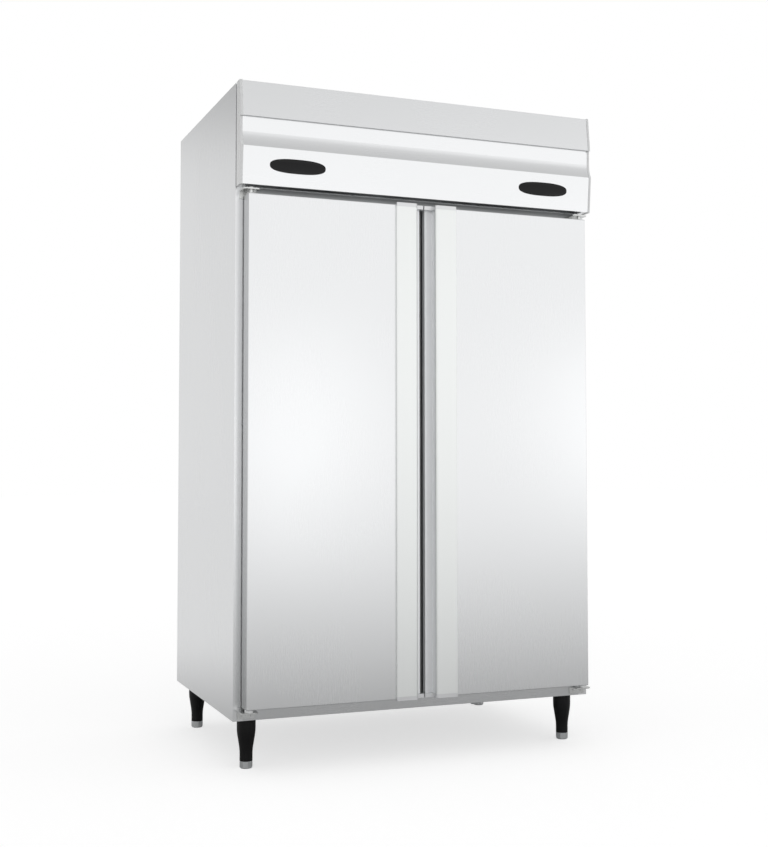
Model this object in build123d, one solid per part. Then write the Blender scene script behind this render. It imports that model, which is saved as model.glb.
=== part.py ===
"""Two-door upright commercial fridge freezer, stainless steel, on four legs.

Millimetres, +X to the right, +Y to the back, +Z up. The origin is on the floor, under the middle of
the whole object. "Ahead" is a distance forward of the cabinet's face, and "out" is a distance from the
middle plane towards one side. Pieces that come in pairs are drawn for the right side and mirrored.
"""
from build123d import *
import math
import os

# Cabinet
cabinet_width = 1200.0
cabinet_height = 2060.0
cabinet_depth = 745.0
leg_height = 152.0
panel_sheet = 1.5
front_flange = 30.0
rear_flange = 20.0
rail_height = 40.0
rail_flange = 20.0
pan_upstand = 25.0

# Header
header_height = 315.0
header_sheet = 1.5
header_top_ahead = 42.0
upper_flat_height = 110.0
upper_flat_ahead = 53.0
step_back = 7.0
step_lap = 2.5
cove_height = 91.0
cove_radius = 93.0
cove_run = 45.0
lower_flat_ahead = 57.0
header_foot_ahead = 47.0
end_cap_thickness = 8.0
end_cap_lip = 1.5
end_cap_gap = 9.0
end_cap_round = 3.5
inlet_lip = 6.0
inlet_end_gap = 20.0

# Display windows
window_length = 174.5
window_height = 44.0
window_end_radius = 16.0
window_side_inset = 180.0
window_drop = 51.5
window_proud = 1.5
window_rim = 2.5
window_body = 6.0
window_clearance = 0.3
controller_length = 150.0
controller_height = 36.0
controller_depth = 24.0

# Doors
door_inset = 25.0
door_gap = 18.0
door_front = 58.0
door_back = 8.0
door_sheet = 1.2
door_corner = 3.0
door_fold = 2.5
door_slot = 28.0
door_liner_sheet = 2.0
plug_reach = 5.0
plug_clearance = 7.0
plug_corner = 20.0

# Handle strips
cap_gap = 4.0
finger_gap = 21.0
strip_width = 72.0
strip_proud = 8.0
nose_radius = 10.0
nose_land = 1.5
channel_floor = 25.5
lip_reach = 4.5
cap_height = 12.0
cap_over_top = 6.0
cap_under_bottom = 3.0
cap_channel_ahead = 41.0

# Gaskets
gasket_width = 18.0
gasket_free_inset = 4.0
gasket_hinge_inset = 12.0
gasket_end_inset = 11.0
gasket_gap = 0.3
gasket_base = 2.5
gasket_neck = 1.5
gasket_neck_inset = 4.0
gasket_head_inset = 1.0

# Hinges
pin_inset = 13.0
pin_ahead = 40.0
pin_radius = 5.0
pin_head_radius = 8.0
pin_head = 3.0
pin_clearance = 0.05
press_clearance = 0.02
bush_radius = 9.0
bush_flange_radius = 13.0
bush_flange = 2.0
bush_depth = 20.0
seat_clearance = 0.3
bracket_sheet = 4.0
bracket_reach = 52.0
bracket_outer_inset = 12.0
bracket_width = 53.0
bracket_leg = 22.0
bracket_leg_sheet = 3.0
bracket_corner = 12.0
top_bracket_rise = 13.0
bottom_bracket_drop = 8.0

# Insulated compartments
side_wall = 60.0
mullion_width = 60.0
rear_wall = 60.0
mouth_overlap = 35.0
breaker_thickness = 3.0
breaker_depth = 30.0
liner_sheet = 1.0
liner_corner = 12.0
deck_rise = 15.0
deck_flange = 15.0

# Shelving
standard_width = 20.0
standard_depth = 8.0
standard_sheet = 1.5
standard_end_gap = 12.0
standard_front_inset = 70.0
standard_rear_inset = 110.0
standard_slot_pitch = 110.0
standard_slot = 24.0
clip_width = 16.0
clip_reach = 14.0
clip_height = 22.0
clip_sheet = 2.0
shelf_count = 3
shelf_first = 300.0
shelf_pitch = 330.0
shelf_side_gap = 12.0
shelf_front_inset = 30.0
shelf_rear_gap = 35.0
shelf_frame_radius = 3.5
shelf_wire_radius = 2.0
shelf_wire_count = 13
shelf_weld = 0.6

# Evaporator in each compartment
cooler_height = 140.0
cooler_depth = 352.0
cooler_side_gap = 12.0
cooler_sheet = 1.5
cooler_fan_radius = 58.0
cooler_fan_hub = 16.0
cooler_fan_depth = 22.0
cooler_fan_set_back = 14.0
cooler_motor_radius = 27.0
cooler_motor_length = 46.0
return_slot_count = 9
coil_side_gap = 30.0
coil_depth = 150.0
coil_height = 96.0
coil_fin_count = 24
coil_set_back = 150.0
coil_end_plate = 2.0
coil_pan_gap = 14.0

# Condensing unit behind the header, one for each compartment
unit_out = 300.0
condenser_width = 300.0
condenser_height = 240.0
condenser_depth = 60.0
condenser_ahead_gap = 45.0
condenser_fin_count = 24
condenser_frame = 8.0
shroud_depth = 45.0
shroud_sheet = 1.5
shroud_collar = 22.0
condenser_fan_radius = 98.0
fan_tip_clearance = 4.0
condenser_fan_hub = 24.0
condenser_fan_depth = 30.0
condenser_motor_radius = 40.0
condenser_motor_length = 60.0
fan_blades = 5
blade_thickness = 2.0
blade_root_pitch = 40.0
blade_tip_pitch = 24.0
shaft_radius = 4.0
shaft_clearance = 0.05
motor_gap = 14.0
arm_width = 12.0
arm_sheet = 3.0
compressor_length = 210.0
compressor_width = 160.0
compressor_height = 190.0
compressor_round = 45.0
compressor_plate = 3.0
seam_height = 5.0
seam_width = 3.0
terminal_width = 64.0
terminal_height = 90.0
terminal_depth = 14.0
compressor_set_back = 490.0
compressor_foot = 14.0
grommet_radius = 11.0
control_box_width = 120.0
control_box_depth = 160.0
control_box_height = 150.0
control_box_set_back = 70.0
control_box_corner = 3.0
control_lid_over = 2.0
control_lid_height = 12.0
control_lid_sheet = 1.5
grille_slot_rows = 6
grille_slot_columns = 4
grille_slot_height = 8.0
grille_slot_pitch = 24.0
inlet_radius = 14.0
inlet_bore = 5.0
inlet_length = 22.0
inlet_rise = 60.0
inlet_nut_across = 33.0
inlet_nut_thickness = 7.0

# Pipes
refrigerant_radius = 4.0
refrigerant_bend = 18.0
discharge_rise = 40.0
suction_side_inset = 30.0
pipe_clearance = 0.2
drain_radius = 9.0
drain_spigot_radius = 8.0
drain_bore = 6.5
drain_bend = 24.0
drain_reach = 40.0
drain_drop = 11.0
floor_drain_out = 206.0
floor_drain_set_back = 40.0

# Legs and feet
leg_side_inset = 58.0
leg_front_inset = 60.0
leg_rear_inset = 62.0
leg_top_radius = 28.5
leg_end_radius = 19.5
leg_straight = 43.0
leg_taper_end = 54.0
leg_bend = 150.0
foot_height = 22.0
foot_across = 37.0
foot_sides = 8
foot_round = 4.0
stud_radius = 6.0
stud_length = 48.0
stud_clearance = 0.05
spigot_radius = 8.0
spigot_length = 16.0
leg_plate_size = 90.0
leg_plate_sheet = 3.0

# Heights and places worked out from the sizes above
half_width = cabinet_width / 2
half_gap = door_gap / 2
cap_in = cap_gap / 2
window_out = half_width - window_side_inset
strip_ahead = door_front + strip_proud
face_y = (strip_ahead - cabinet_depth) / 2
back_y = face_y + cabinet_depth
rear_panel_y = back_y - 2 * panel_sheet
header_bottom = cabinet_height - header_height
door_top = header_bottom - door_slot
door_bottom = leg_height + rail_height
door_edge = half_width - door_inset
mouth_top = door_top - mouth_overlap
mouth_bottom = door_bottom + mouth_overlap
mouth_inner = mullion_width / 2
mouth_outer = half_width - side_wall
room_inner = mouth_inner + breaker_thickness
room_outer = mouth_outer - breaker_thickness
room_top = mouth_top - breaker_thickness
room_bottom = mouth_bottom + breaker_thickness
room_back = back_y - rear_wall
room_middle = (room_inner + room_outer) / 2
deck_bottom = header_bottom + deck_rise
deck_top = deck_bottom + panel_sheet
foam_bottom = leg_height + panel_sheet
pin_out = door_edge - pin_inset
nose_out = half_gap + finger_gap
strip_out = nose_out + strip_width
wall_out = nose_out + lip_reach


def ahead(distance):
    """Y of a point that lies this far forward of the cabinet's face."""
    return face_y - distance


def block(x, y, z):
    """Square-cornered block between two limits on each axis."""
    centre = ((x[0] + x[1]) / 2, (y[0] + y[1]) / 2, (z[0] + z[1]) / 2)
    return Pos(*centre) * Box(x[1] - x[0], y[1] - y[0], z[1] - z[0])


def polygon(points):
    """Flat face with straight sides."""
    return make_face(Polyline(*points, close=True))


def upright(face, bottom, top):
    """A plan-view face, drawn in X and Y, raised between two heights."""
    return extrude(Plane.XY.offset(bottom) * face, amount=top - bottom, dir=(0, 0, 1))


def crosswise(face, left, right):
    """A side-view face, drawn in Y and Z, run between two places along X."""
    return extrude(Plane.YZ.offset(left) * face, amount=right - left, dir=(1, 0, 0))


def backward(face, front, back):
    """A front-view face, drawn in X and Z, run backward between two places along Y."""
    plane = Plane(origin=(0, front, 0), x_dir=(1, 0, 0), z_dir=(0, -1, 0))
    return extrude(plane * face, amount=back - front, dir=(0, 1, 0))


def rod_x(radius, left, right, y, z):
    """Round bar along X."""
    return Pos((left + right) / 2, y, z) * Rot(0, 90, 0) * Cylinder(radius, right - left)


def rod_y(radius, front, back, x, z):
    """Round bar along Y."""
    return Pos(x, (front + back) / 2, z) * Rot(90, 0, 0) * Cylinder(radius, back - front)


def rod_z(radius, bottom, top, x, y):
    """Round bar along Z."""
    return Pos(x, y, (bottom + top) / 2) * Cylinder(radius, top - bottom)


def folded(path, sheet):
    """Section of a folded sheet: the path is its outer face, and the metal lies to its left."""
    normals = []
    for start, end in zip(path, path[1:]):
        length = math.dist(start, end)
        normals.append((-(end[1] - start[1]) / length, (end[0] - start[0]) / length))
    inner = []
    for index, point in enumerate(path):
        before = normals[max(index - 1, 0)]
        after = normals[min(index, len(normals) - 1)]
        mitre = sheet / (1 + before[0] * after[0] + before[1] * after[1])
        inner.append((point[0] + (before[0] + after[0]) * mitre, point[1] + (before[1] + after[1]) * mitre))
    return polygon(path + inner[::-1])


def rounded_window(out, z, radius):
    """Front-view rectangle with rounded corners between two places out and two heights."""
    centre = ((out[0] + out[1]) / 2, (z[0] + z[1]) / 2)
    return Pos(*centre) * RectangleRounded(out[1] - out[0], z[1] - z[0], radius)


def mirrored(shape):
    """The left-side twin of a right-side piece."""
    return mirror(shape, about=Plane.YZ)


def both(shape):
    """A right-side piece and its left-side twin, as separate solids of one group."""
    return Compound(children=list(shape.solids()) + list(mirrored(shape).solids()))


def save(name, shape):
    """Write one sub-part, named for its file."""
    solids = shape.solids()
    whole = solids[0] if len(solids) == 1 else Compound(children=list(solids))
    export_step(whole, f"parts/{name}.step")


# Cabinet shell

def side_panel():
    """Outer side sheet with folded front, rear and top edges."""
    section = folded([(half_width - front_flange, face_y), (half_width, face_y),
                      (half_width, back_y), (half_width - rear_flange, back_y)], panel_sheet)
    top_edge = block((half_width - rear_flange, half_width), (face_y, back_y),
                     (cabinet_height - panel_sheet, cabinet_height))
    return upright(section, leg_height, cabinet_height) + top_edge


def rear_panel():
    """Flat back sheet of the insulated body, inside the side panels' rear flanges."""
    inside = half_width - panel_sheet
    return block((-inside, inside), (rear_panel_y, rear_panel_y + panel_sheet), (foam_bottom, deck_bottom))


def rear_grille():
    """Slotted sheet that closes the machine bay at the back."""
    inside = half_width - panel_sheet
    sheet = block((-inside, inside), (rear_panel_y, rear_panel_y + panel_sheet),
                  (deck_bottom, cabinet_height - panel_sheet))
    slot_length = 2 * inside / grille_slot_columns * 0.62
    middle = (deck_bottom + cabinet_height) / 2 + grille_slot_pitch
    slot = backward(Rectangle(slot_length, grille_slot_height), rear_panel_y - 1, back_y)
    spread = 2 * inside / grille_slot_columns
    for place in GridLocations(spread, grille_slot_pitch, grille_slot_columns, grille_slot_rows):
        sheet -= Pos(place.position.X, 0, middle + place.position.Y) * slot
    inlet = rod_y(inlet_radius, rear_panel_y - 1, back_y, 0, deck_top + inlet_rise)
    return sheet - inlet


def base_pan():
    """Bottom sheet with upturned sides."""
    inside = half_width - panel_sheet
    rise = leg_height + pan_upstand
    section = folded([(-inside, rise), (-inside, leg_height), (inside, leg_height), (inside, rise)],
                     panel_sheet)
    pan = backward(section, face_y + rail_flange, rear_panel_y)
    for x, y in leg_places():
        pan -= rod_z(spigot_radius + pipe_clearance, leg_height - 1, foam_bottom + 1, x, y)
    return pan - drain_space()


def bottom_rail():
    """Channel across the front, under the doors."""
    section = folded([(face_y + rail_flange, door_bottom), (face_y, door_bottom),
                      (face_y, leg_height), (face_y + rail_flange, leg_height)], panel_sheet)
    reach = half_width - front_flange
    return crosswise(section, -reach, reach)


def face_frame():
    """Front sheet between the side panels, with the two mouths that the doors close on."""
    reach = half_width - front_flange
    top = deck_bottom + deck_flange
    plate = block((-reach, reach), (face_y, face_y + panel_sheet), (door_bottom, top))
    mouth = backward(mouth_window(), face_y - 1, face_y + 2 * panel_sheet)
    return plate - mouth - mirrored(mouth)


def mouth_window():
    """Front view of one compartment's mouth."""
    return rounded_window((mouth_inner, mouth_outer), (mouth_bottom, mouth_top),
                          liner_corner + breaker_thickness)


def breaker_strip():
    """Plastic ring inside one mouth, which keeps the cold liner off the face."""
    outer = mouth_window()
    inner = rounded_window((room_inner, room_outer), (room_bottom, room_top), liner_corner)
    return backward(outer - inner, face_y, face_y + breaker_depth)


def liner_hull(skin):
    """The space of one liner, grown outward by the skin, from behind the breaker strip to the back."""
    window = rounded_window((room_inner - skin, room_outer + skin), (room_bottom - skin, room_top + skin),
                            liner_corner + skin)
    return backward(window, face_y + breaker_depth, room_back + skin)


def liner():
    """Inner steel box of one compartment, with coved edges."""
    box = liner_hull(liner_sheet) - liner_hull(0)
    return box - drain_space() - suction_space()


def insulation_body():
    """Foam between the skins, in six boards: floor, ceiling, back, two sides and the mullion."""
    inside = half_width - panel_sheet
    front = face_y + panel_sheet
    rear = room_back + liner_sheet
    floor_top = room_bottom - liner_sheet
    ceiling = room_top + liner_sheet
    side_in = room_outer + liner_sheet
    mullion = room_inner - liner_sheet
    boards = [
        block((-inside, inside), (front, rear_panel_y), (foam_bottom, floor_top)),
        block((-inside, inside), (front, rear_panel_y), (ceiling, deck_bottom)),
        block((-inside, inside), (rear, rear_panel_y), (floor_top, ceiling)),
        block((side_in, inside), (front, rear), (floor_top, ceiling)),
        block((-inside, -side_in), (front, rear), (floor_top, ceiling)),
        block((-mullion, mullion), (front, rear), (floor_top, ceiling)),
    ]
    rebate = backward(mouth_window(), face_y, face_y + breaker_depth)
    upstand = block((inside - panel_sheet, inside), (face_y, back_y), (leg_height, leg_height + pan_upstand))
    bores = [rod_z(spigot_radius + pipe_clearance, foam_bottom, leg_height + spigot_length + 1, x, y)
             for x, y in leg_places()]
    spaces = [rebate, mirrored(rebate), upstand, mirrored(upstand), bottom_rail(), leg_plates(),
              drain_space(), suction_space(), mirrored(suction_space()), *bores]
    return Compound(children=[(board - spaces).solid() for board in boards])


def machine_deck():
    """Sheet over the foam that carries the condensing units, turned up at the front and back."""
    inside = half_width - panel_sheet
    rise = deck_bottom + deck_flange
    section = folded([(face_y + panel_sheet, rise), (face_y + panel_sheet, deck_bottom),
                      (rear_panel_y, deck_bottom), (rear_panel_y, rise)], panel_sheet)
    deck = crosswise(section, -inside, inside)
    return deck - suction_space() - mirrored(suction_space())


# Header

def header_outline():
    """Side view of the header's front: upper flat, its lap over the scooped cove, and lower flat."""
    top = cabinet_height - end_cap_lip
    upper_end = (ahead(upper_flat_ahead), cabinet_height - upper_flat_height)
    cove_top = (ahead(upper_flat_ahead - step_back), upper_end[1] + step_lap)
    cove_end_z = upper_end[1] - cove_height
    sweep_angle = math.asin(cove_run / cove_radius)
    cove_out = cove_radius * (1 - math.cos(sweep_angle))
    cove_start = (ahead(lower_flat_ahead - cove_out), cove_end_z + cove_run)
    cove_end = (ahead(lower_flat_ahead), cove_end_z)
    foot = (ahead(header_foot_ahead), header_bottom)
    half_angle = sweep_angle / 2
    cove_middle = (cove_start[0] - cove_radius * (1 - math.cos(half_angle)),
                   cove_start[1] - cove_radius * math.sin(half_angle))
    edges = [
        Polyline((face_y, header_bottom), (face_y, top), (ahead(header_top_ahead), top), upper_end, cove_top,
                 cove_start),
        ThreePointArc(cove_start, cove_middle, cove_end),
        Polyline(cove_end, foot, (face_y, header_bottom)),
    ]
    return make_face([edge for part in edges for edge in part.edges()])


def window_plane(out):
    """Plane on the header's lower flat, centred on a display window, facing out of it."""
    height = header_height - upper_flat_height - cove_height
    share = window_drop / height
    lean = (lower_flat_ahead - header_foot_ahead) / height
    y = ahead(lower_flat_ahead - (lower_flat_ahead - header_foot_ahead) * share)
    z = cabinet_height - upper_flat_height - cove_height - window_drop
    return Plane(origin=(out, y, z), x_dir=(1, 0, 0), z_dir=(0, -1, -lean))


def oval(inset):
    """Four-arc oval of the display window, drawn smaller by the inset."""
    half_length = window_length / 2 - inset
    half_height = window_height / 2 - inset
    small = window_end_radius - inset
    large = (half_length ** 2 + half_height ** 2 - 2 * half_length * small) / (2 * (half_height - small))
    turn = math.atan2(large - half_height, half_length - small)
    joint = (half_length - small + small * math.cos(turn), small * math.sin(turn))
    right, left = (joint[0], -joint[1]), (-joint[0], joint[1])
    arcs = [
        ThreePointArc(right, (half_length, 0), joint),
        ThreePointArc(joint, (0, half_height), left),
        ThreePointArc(left, (-half_length, 0), (-joint[0], -joint[1])),
        ThreePointArc((-joint[0], -joint[1]), (0, -half_height), right),
    ]
    return make_face([arc.edge() for arc in arcs])


def header_panel():
    """Formed steel front of the machine bay, open at the back, with two window holes."""
    outline = header_outline()
    hollow = offset(outline, amount=-header_sheet, kind=Kind.INTERSECTION)
    reach = half_width - end_cap_thickness
    solid = crosswise(outline, -reach, reach)
    inside = crosswise(hollow, -reach - 1, reach + 1)
    opening = block((-reach - 1, reach + 1), (face_y - 2 * header_sheet, face_y + 1),
                    (header_bottom + header_sheet, cabinet_height - end_cap_lip - header_sheet))
    inlet_reach = reach - inlet_end_gap
    inlet = block((-inlet_reach, inlet_reach), (ahead(header_foot_ahead - inlet_lip), face_y - inlet_lip),
                  (header_bottom - 1, header_bottom + 2 * header_sheet))
    panel = solid - inside - opening - inlet
    for out in (window_out, -window_out):
        hole = window_plane(out) * oval(window_rim - window_clearance)
        panel -= extrude(hole, amount=2 * window_body, both=True)
    return panel


def end_cap():
    """Moulded cap that closes the right end of the header, proud of it all round."""
    outline = offset(header_outline(), amount=end_cap_lip, kind=Kind.TANGENT)
    cap = crosswise(outline, half_width - end_cap_thickness, half_width)
    front_edges = cap.edges().filter_by(lambda edge: abs(edge.center().X - half_width) < 0.01)
    front_edges = front_edges.filter_by(lambda edge: edge.center().Y < ahead(header_top_ahead) + 1)
    cap = fillet(front_edges, end_cap_round)
    return cap - block((0, half_width + 1), (ahead(end_cap_gap), back_y), (0, cabinet_height + 10))


def display_window(out):
    """Dark oval window with a rim on the header and a body through it."""
    plane = window_plane(out)
    rim = extrude(plane * oval(0), amount=window_proud)
    front = rim.faces().sort_by(Axis(plane.origin, plane.z_dir))[-1]
    rim = chamfer(front.edges(), window_proud * 0.6)
    body = extrude(plane * oval(window_rim), amount=-window_body)
    return rim + body


def controller(out):
    """Temperature controller on the back of a display window."""
    plane = window_plane(out).offset(-window_body)
    housing = RectangleRounded(controller_length, controller_height, 4)
    return extrude(plane * housing, amount=-controller_depth)


# Doors, drawn for the right side

def door_plan():
    """Plan view of a door, with the finger channel folded into its free edge."""
    outline = polygon([(half_gap, ahead(door_back)), (half_gap, ahead(channel_floor)),
                       (wall_out, ahead(channel_floor)), (wall_out, ahead(door_front)),
                       (door_edge, ahead(door_front)), (door_edge, ahead(door_back))])
    corner = outline.vertices().sort_by(lambda vertex: vertex.X - vertex.Y)[-1]
    return fillet(corner, door_corner)


def door_inside(back_ahead):
    """The space inside a door's outer skin, from a plane this far ahead of the face."""
    plan = offset(door_plan(), amount=-door_sheet, kind=Kind.INTERSECTION)
    space = upright(plan, door_bottom + door_sheet, door_top - door_sheet)
    rear = block((half_gap + door_sheet, door_edge - door_sheet),
                 (ahead(door_back + 3 * door_sheet), ahead(back_ahead)),
                 (door_bottom + door_sheet, door_top - door_sheet))
    kept = block((0, half_width), (ahead(door_front), ahead(back_ahead)), (0, cabinet_height))
    return (space + rear) & kept


def pin_bore(radius):
    """Holes in the door's ends round the hinge line."""
    top = rod_z(radius, door_top - bush_depth, door_top + bush_flange, pin_out, ahead(pin_ahead))
    bottom = rod_z(radius, door_bottom - bush_flange, door_bottom + bush_depth, pin_out, ahead(pin_ahead))
    return top + bottom


def plug_window(inset):
    """Front view of the raised middle of the door's liner."""
    edge = plug_clearance + inset
    return rounded_window((room_inner + edge, room_outer - edge), (room_bottom + edge, room_top - edge),
                          plug_corner - inset)


def door_skin():
    """Outer steel pan of a door."""
    pan = upright(door_plan(), door_bottom, door_top)
    front = pan.faces().filter_by(Axis.Y).sort_by(Axis.Y)[0]
    pan = fillet(front.edges().filter_by(Axis.X), door_fold) - door_inside(door_back - 1)
    return pan - pin_bore(bush_radius + press_clearance)


def door_foam():
    """Foam core of a door with its raised middle, and the thin board behind the finger channel."""
    core = door_inside(door_back + door_liner_sheet)
    plug = backward(plug_window(door_liner_sheet), ahead(door_back + door_liner_sheet),
                    ahead(door_liner_sheet - plug_reach))
    foam = core + plug - pin_bore(bush_radius + press_clearance)
    edge = wall_out + door_sheet
    board = block((0, edge), (ahead(door_front), ahead(0)), (0, cabinet_height))
    return Compound(children=[(foam - board).solid(), (foam & board).solid()])


def door_liner():
    """Inner face of a door, with a raised middle that reaches into the mouth."""
    plate = block((half_gap + door_sheet, door_edge - door_sheet),
                  (ahead(door_back + door_liner_sheet), ahead(door_back)),
                  (door_bottom + door_sheet, door_top - door_sheet))
    raised = backward(plug_window(0), ahead(door_back + door_liner_sheet), ahead(-plug_reach))
    hollow = backward(plug_window(door_liner_sheet), ahead(door_back + door_liner_sheet),
                      ahead(door_liner_sheet - plug_reach))
    return plate + raised - hollow


def gasket_ring(inset, near, far):
    """One layer of the gasket, between two distances ahead of the face."""
    x = (half_gap + gasket_free_inset + inset, door_edge - gasket_hinge_inset - inset)
    z = (door_bottom + gasket_end_inset + inset, door_top - gasket_end_inset - inset)
    wide = gasket_width - 2 * inset
    outer = block(x, (ahead(far), ahead(near)), z)
    inner = block((x[0] + wide, x[1] - wide), (ahead(far + 1), ahead(near - 1)), (z[0] + wide, z[1] - wide))
    return outer - inner


def door_gasket():
    """Magnetic gasket: a base on the door's liner, a bellows neck and a head at the face."""
    base_end = door_back - gasket_base
    neck_end = base_end - gasket_neck
    ring = gasket_ring(0, base_end, door_back) + gasket_ring(gasket_neck_inset, neck_end, base_end)
    return ring + gasket_ring(gasket_head_inset, gasket_gap, neck_end)


def strip_section():
    """Plan view of the handle: a flat strip on the door's front, hooked round the edge of the channel."""
    lip_back = strip_ahead - nose_radius - nose_land
    diagonal = 1 - math.sqrt(0.5)
    nose_middle = (nose_out + nose_radius * diagonal, ahead(strip_ahead - nose_radius * diagonal))
    outline = Polyline((nose_out, ahead(strip_ahead - nose_radius)), (nose_out + nose_land, ahead(lip_back)),
                       (wall_out, ahead(lip_back)), (wall_out, ahead(door_front)),
                       (strip_out, ahead(door_front)), (strip_out, ahead(strip_ahead)),
                       (nose_out + nose_radius, ahead(strip_ahead)))
    nose = ThreePointArc((nose_out + nose_radius, ahead(strip_ahead)), nose_middle,
                         (nose_out, ahead(strip_ahead - nose_radius)))
    face = make_face([*outline.edges(), nose.edge()])
    corner = face.vertices().filter_by(lambda v: v.X > strip_out - 0.01).sort_by(Axis.Y)[0]
    return fillet(corner, strip_proud / 4)


def handle_strip():
    """Full-height handle strip, between its two caps."""
    return upright(strip_section(), door_bottom - cap_under_bottom + cap_height,
                   door_top + cap_over_top - cap_height)


def cap_plan():
    """Plan view of a handle cap, which closes the channel as well."""
    face = polygon([(cap_in, ahead(channel_floor)), (wall_out, ahead(channel_floor)),
                    (wall_out, ahead(door_front)), (strip_out, ahead(door_front)),
                    (strip_out, ahead(strip_ahead)), (nose_out, ahead(strip_ahead)),
                    (nose_out, ahead(cap_channel_ahead)), (cap_in, ahead(cap_channel_ahead))])
    nose = face.vertices().group_by(Axis.Y)[0].sort_by(Axis.X)[0]
    face = fillet(nose, nose_radius)
    corner = face.vertices().filter_by(lambda v: v.X > strip_out - 0.01).sort_by(Axis.Y)[0]
    return fillet(corner, strip_proud / 4)


def handle_caps():
    """Caps at the top and bottom of the handle, each hooked over the end of the door."""
    top = door_top + cap_over_top
    bottom = door_bottom - cap_under_bottom
    upper = upright(cap_plan(), top - cap_height, top)
    lower = upright(cap_plan(), bottom, bottom + cap_height)
    return Compound(children=[upper.solid(), lower.solid()])


def door_bushes():
    """Plastic bushes in the door's top and bottom that turn on the hinge pins."""
    y = ahead(pin_ahead)
    top = rod_z(bush_radius, door_top - bush_depth, door_top, pin_out, y)
    top += rod_z(bush_flange_radius, door_top, door_top + bush_flange, pin_out, y)
    thrust = door_bottom - bottom_bracket_drop + seat_clearance
    bottom = rod_z(bush_radius, door_bottom, door_bottom + bush_depth, pin_out, y)
    bottom += rod_z(bush_flange_radius, thrust, door_bottom, pin_out, y)
    bore = rod_z(pin_radius + pin_clearance, 0, cabinet_height, pin_out, y)
    return Compound(children=[(top - bore).solid(), (bottom - bore).solid()])


# Hinges, drawn for the right side

def bracket(plate_bottom, leg_down):
    """Hinge bracket: a flat plate with a rounded front over a leg that screws to the cabinet."""
    outer = half_width - bracket_outer_inset
    inner = outer - bracket_width
    plan = polygon([(inner, face_y), (inner, ahead(bracket_reach)),
                    (outer, ahead(bracket_reach)), (outer, face_y)])
    plan = fillet(plan.vertices().sort_by(Axis.Y)[0:2], bracket_corner)
    plate = upright(plan, plate_bottom, plate_bottom + bracket_sheet)
    leg = block((inner, outer), (ahead(bracket_leg_sheet), face_y), (leg_down, plate_bottom))
    hole = rod_z(pin_radius + press_clearance, plate_bottom - 1, plate_bottom + bracket_sheet + 1,
                 pin_out, ahead(pin_ahead))
    return plate + leg - hole


def hinge_brackets():
    """Top and bottom brackets of the right door."""
    top_plate = door_top + top_bracket_rise
    bottom_plate = door_bottom - bottom_bracket_drop - bracket_sheet
    top = bracket(top_plate, top_plate - bracket_leg)
    bottom = bracket(bottom_plate, bottom_plate - bracket_leg)
    return Compound(children=[top.solid(), bottom.solid()])


def hinge_pins():
    """Headed pins, pressed into the brackets, that the right door turns on."""
    y = ahead(pin_ahead)
    top_plate = door_top + top_bracket_rise + bracket_sheet
    bottom_plate = door_bottom - bottom_bracket_drop - bracket_sheet
    top = rod_z(pin_radius, door_top - bush_depth + pin_head, top_plate, pin_out, y)
    top += rod_z(pin_head_radius, top_plate, top_plate + pin_head, pin_out, y)
    bottom = rod_z(pin_radius, bottom_plate, door_bottom + bush_depth - pin_head, pin_out, y)
    bottom += rod_z(pin_head_radius, bottom_plate - pin_head, bottom_plate, pin_out, y)
    return Compound(children=[top.solid(), bottom.solid()])


# Shelving of the right compartment

def shelf_heights():
    """Heights of the shelves' undersides."""
    return [room_bottom + shelf_first + index * shelf_pitch for index in range(shelf_count)]


def standard_places():
    """Y of the front and rear standards on each side wall."""
    return face_y + standard_front_inset, room_back - standard_rear_inset


def shelf_standards():
    """Slotted channels that the shelf clips hook into, two on each wall of the compartment."""
    bottom = room_bottom + standard_end_gap
    top = room_top - cooler_height - standard_end_gap
    half = standard_width / 2
    section = folded([(room_outer, half), (room_outer - standard_depth, half),
                      (room_outer - standard_depth, -half), (room_outer, -half)], standard_sheet)
    rail = upright(section, bottom, top)
    slot = block((room_outer - standard_depth - 1, room_outer - standard_depth + 2 * standard_sheet),
                 (-half / 3, half / 3), (-standard_slot / 2, standard_slot / 2))
    for height in shelf_heights():
        rail -= Pos(0, 0, height - clip_height / 2) * slot
    slots_above = int((top - bottom) // standard_slot_pitch)
    for index in range(slots_above):
        height = bottom + (index + 0.5) * standard_slot_pitch
        if all(abs(height - (z - clip_height / 2)) > 1.5 * standard_slot for z in shelf_heights()):
            rail -= Pos(0, 0, height) * slot
    solids = []
    for y in standard_places():
        outer = Pos(0, y, 0) * rail
        inner = Pos(2 * room_middle, 0, 0) * mirrored(outer)
        solids += [outer.solid(), inner.solid()]
    return Compound(children=solids)


def shelf_clips():
    """Folded clips, four under each shelf."""
    front = room_outer - standard_depth
    half = clip_width / 2
    solids = []
    for height in shelf_heights():
        section = folded([(front, height - clip_height), (front, height), (front - clip_reach, height)],
                         clip_sheet)
        plane = Plane(origin=(0, -half, 0), x_dir=(1, 0, 0), z_dir=(0, -1, 0))
        clip = extrude(plane * section, amount=clip_width, dir=(0, 1, 0))
        for y in standard_places():
            outer = Pos(0, y, 0) * clip
            inner = Pos(2 * room_middle, 0, 0) * mirrored(outer)
            solids += [outer.solid(), inner.solid()]
    return Compound(children=solids)


def bar_section(radius, sides):
    """Many-sided section of a thin bar, with a flat facing along Y."""
    return Rot(0, 0, 90 - 180 / sides) * RegularPolygon(radius, sides, major_radius=False)


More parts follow.
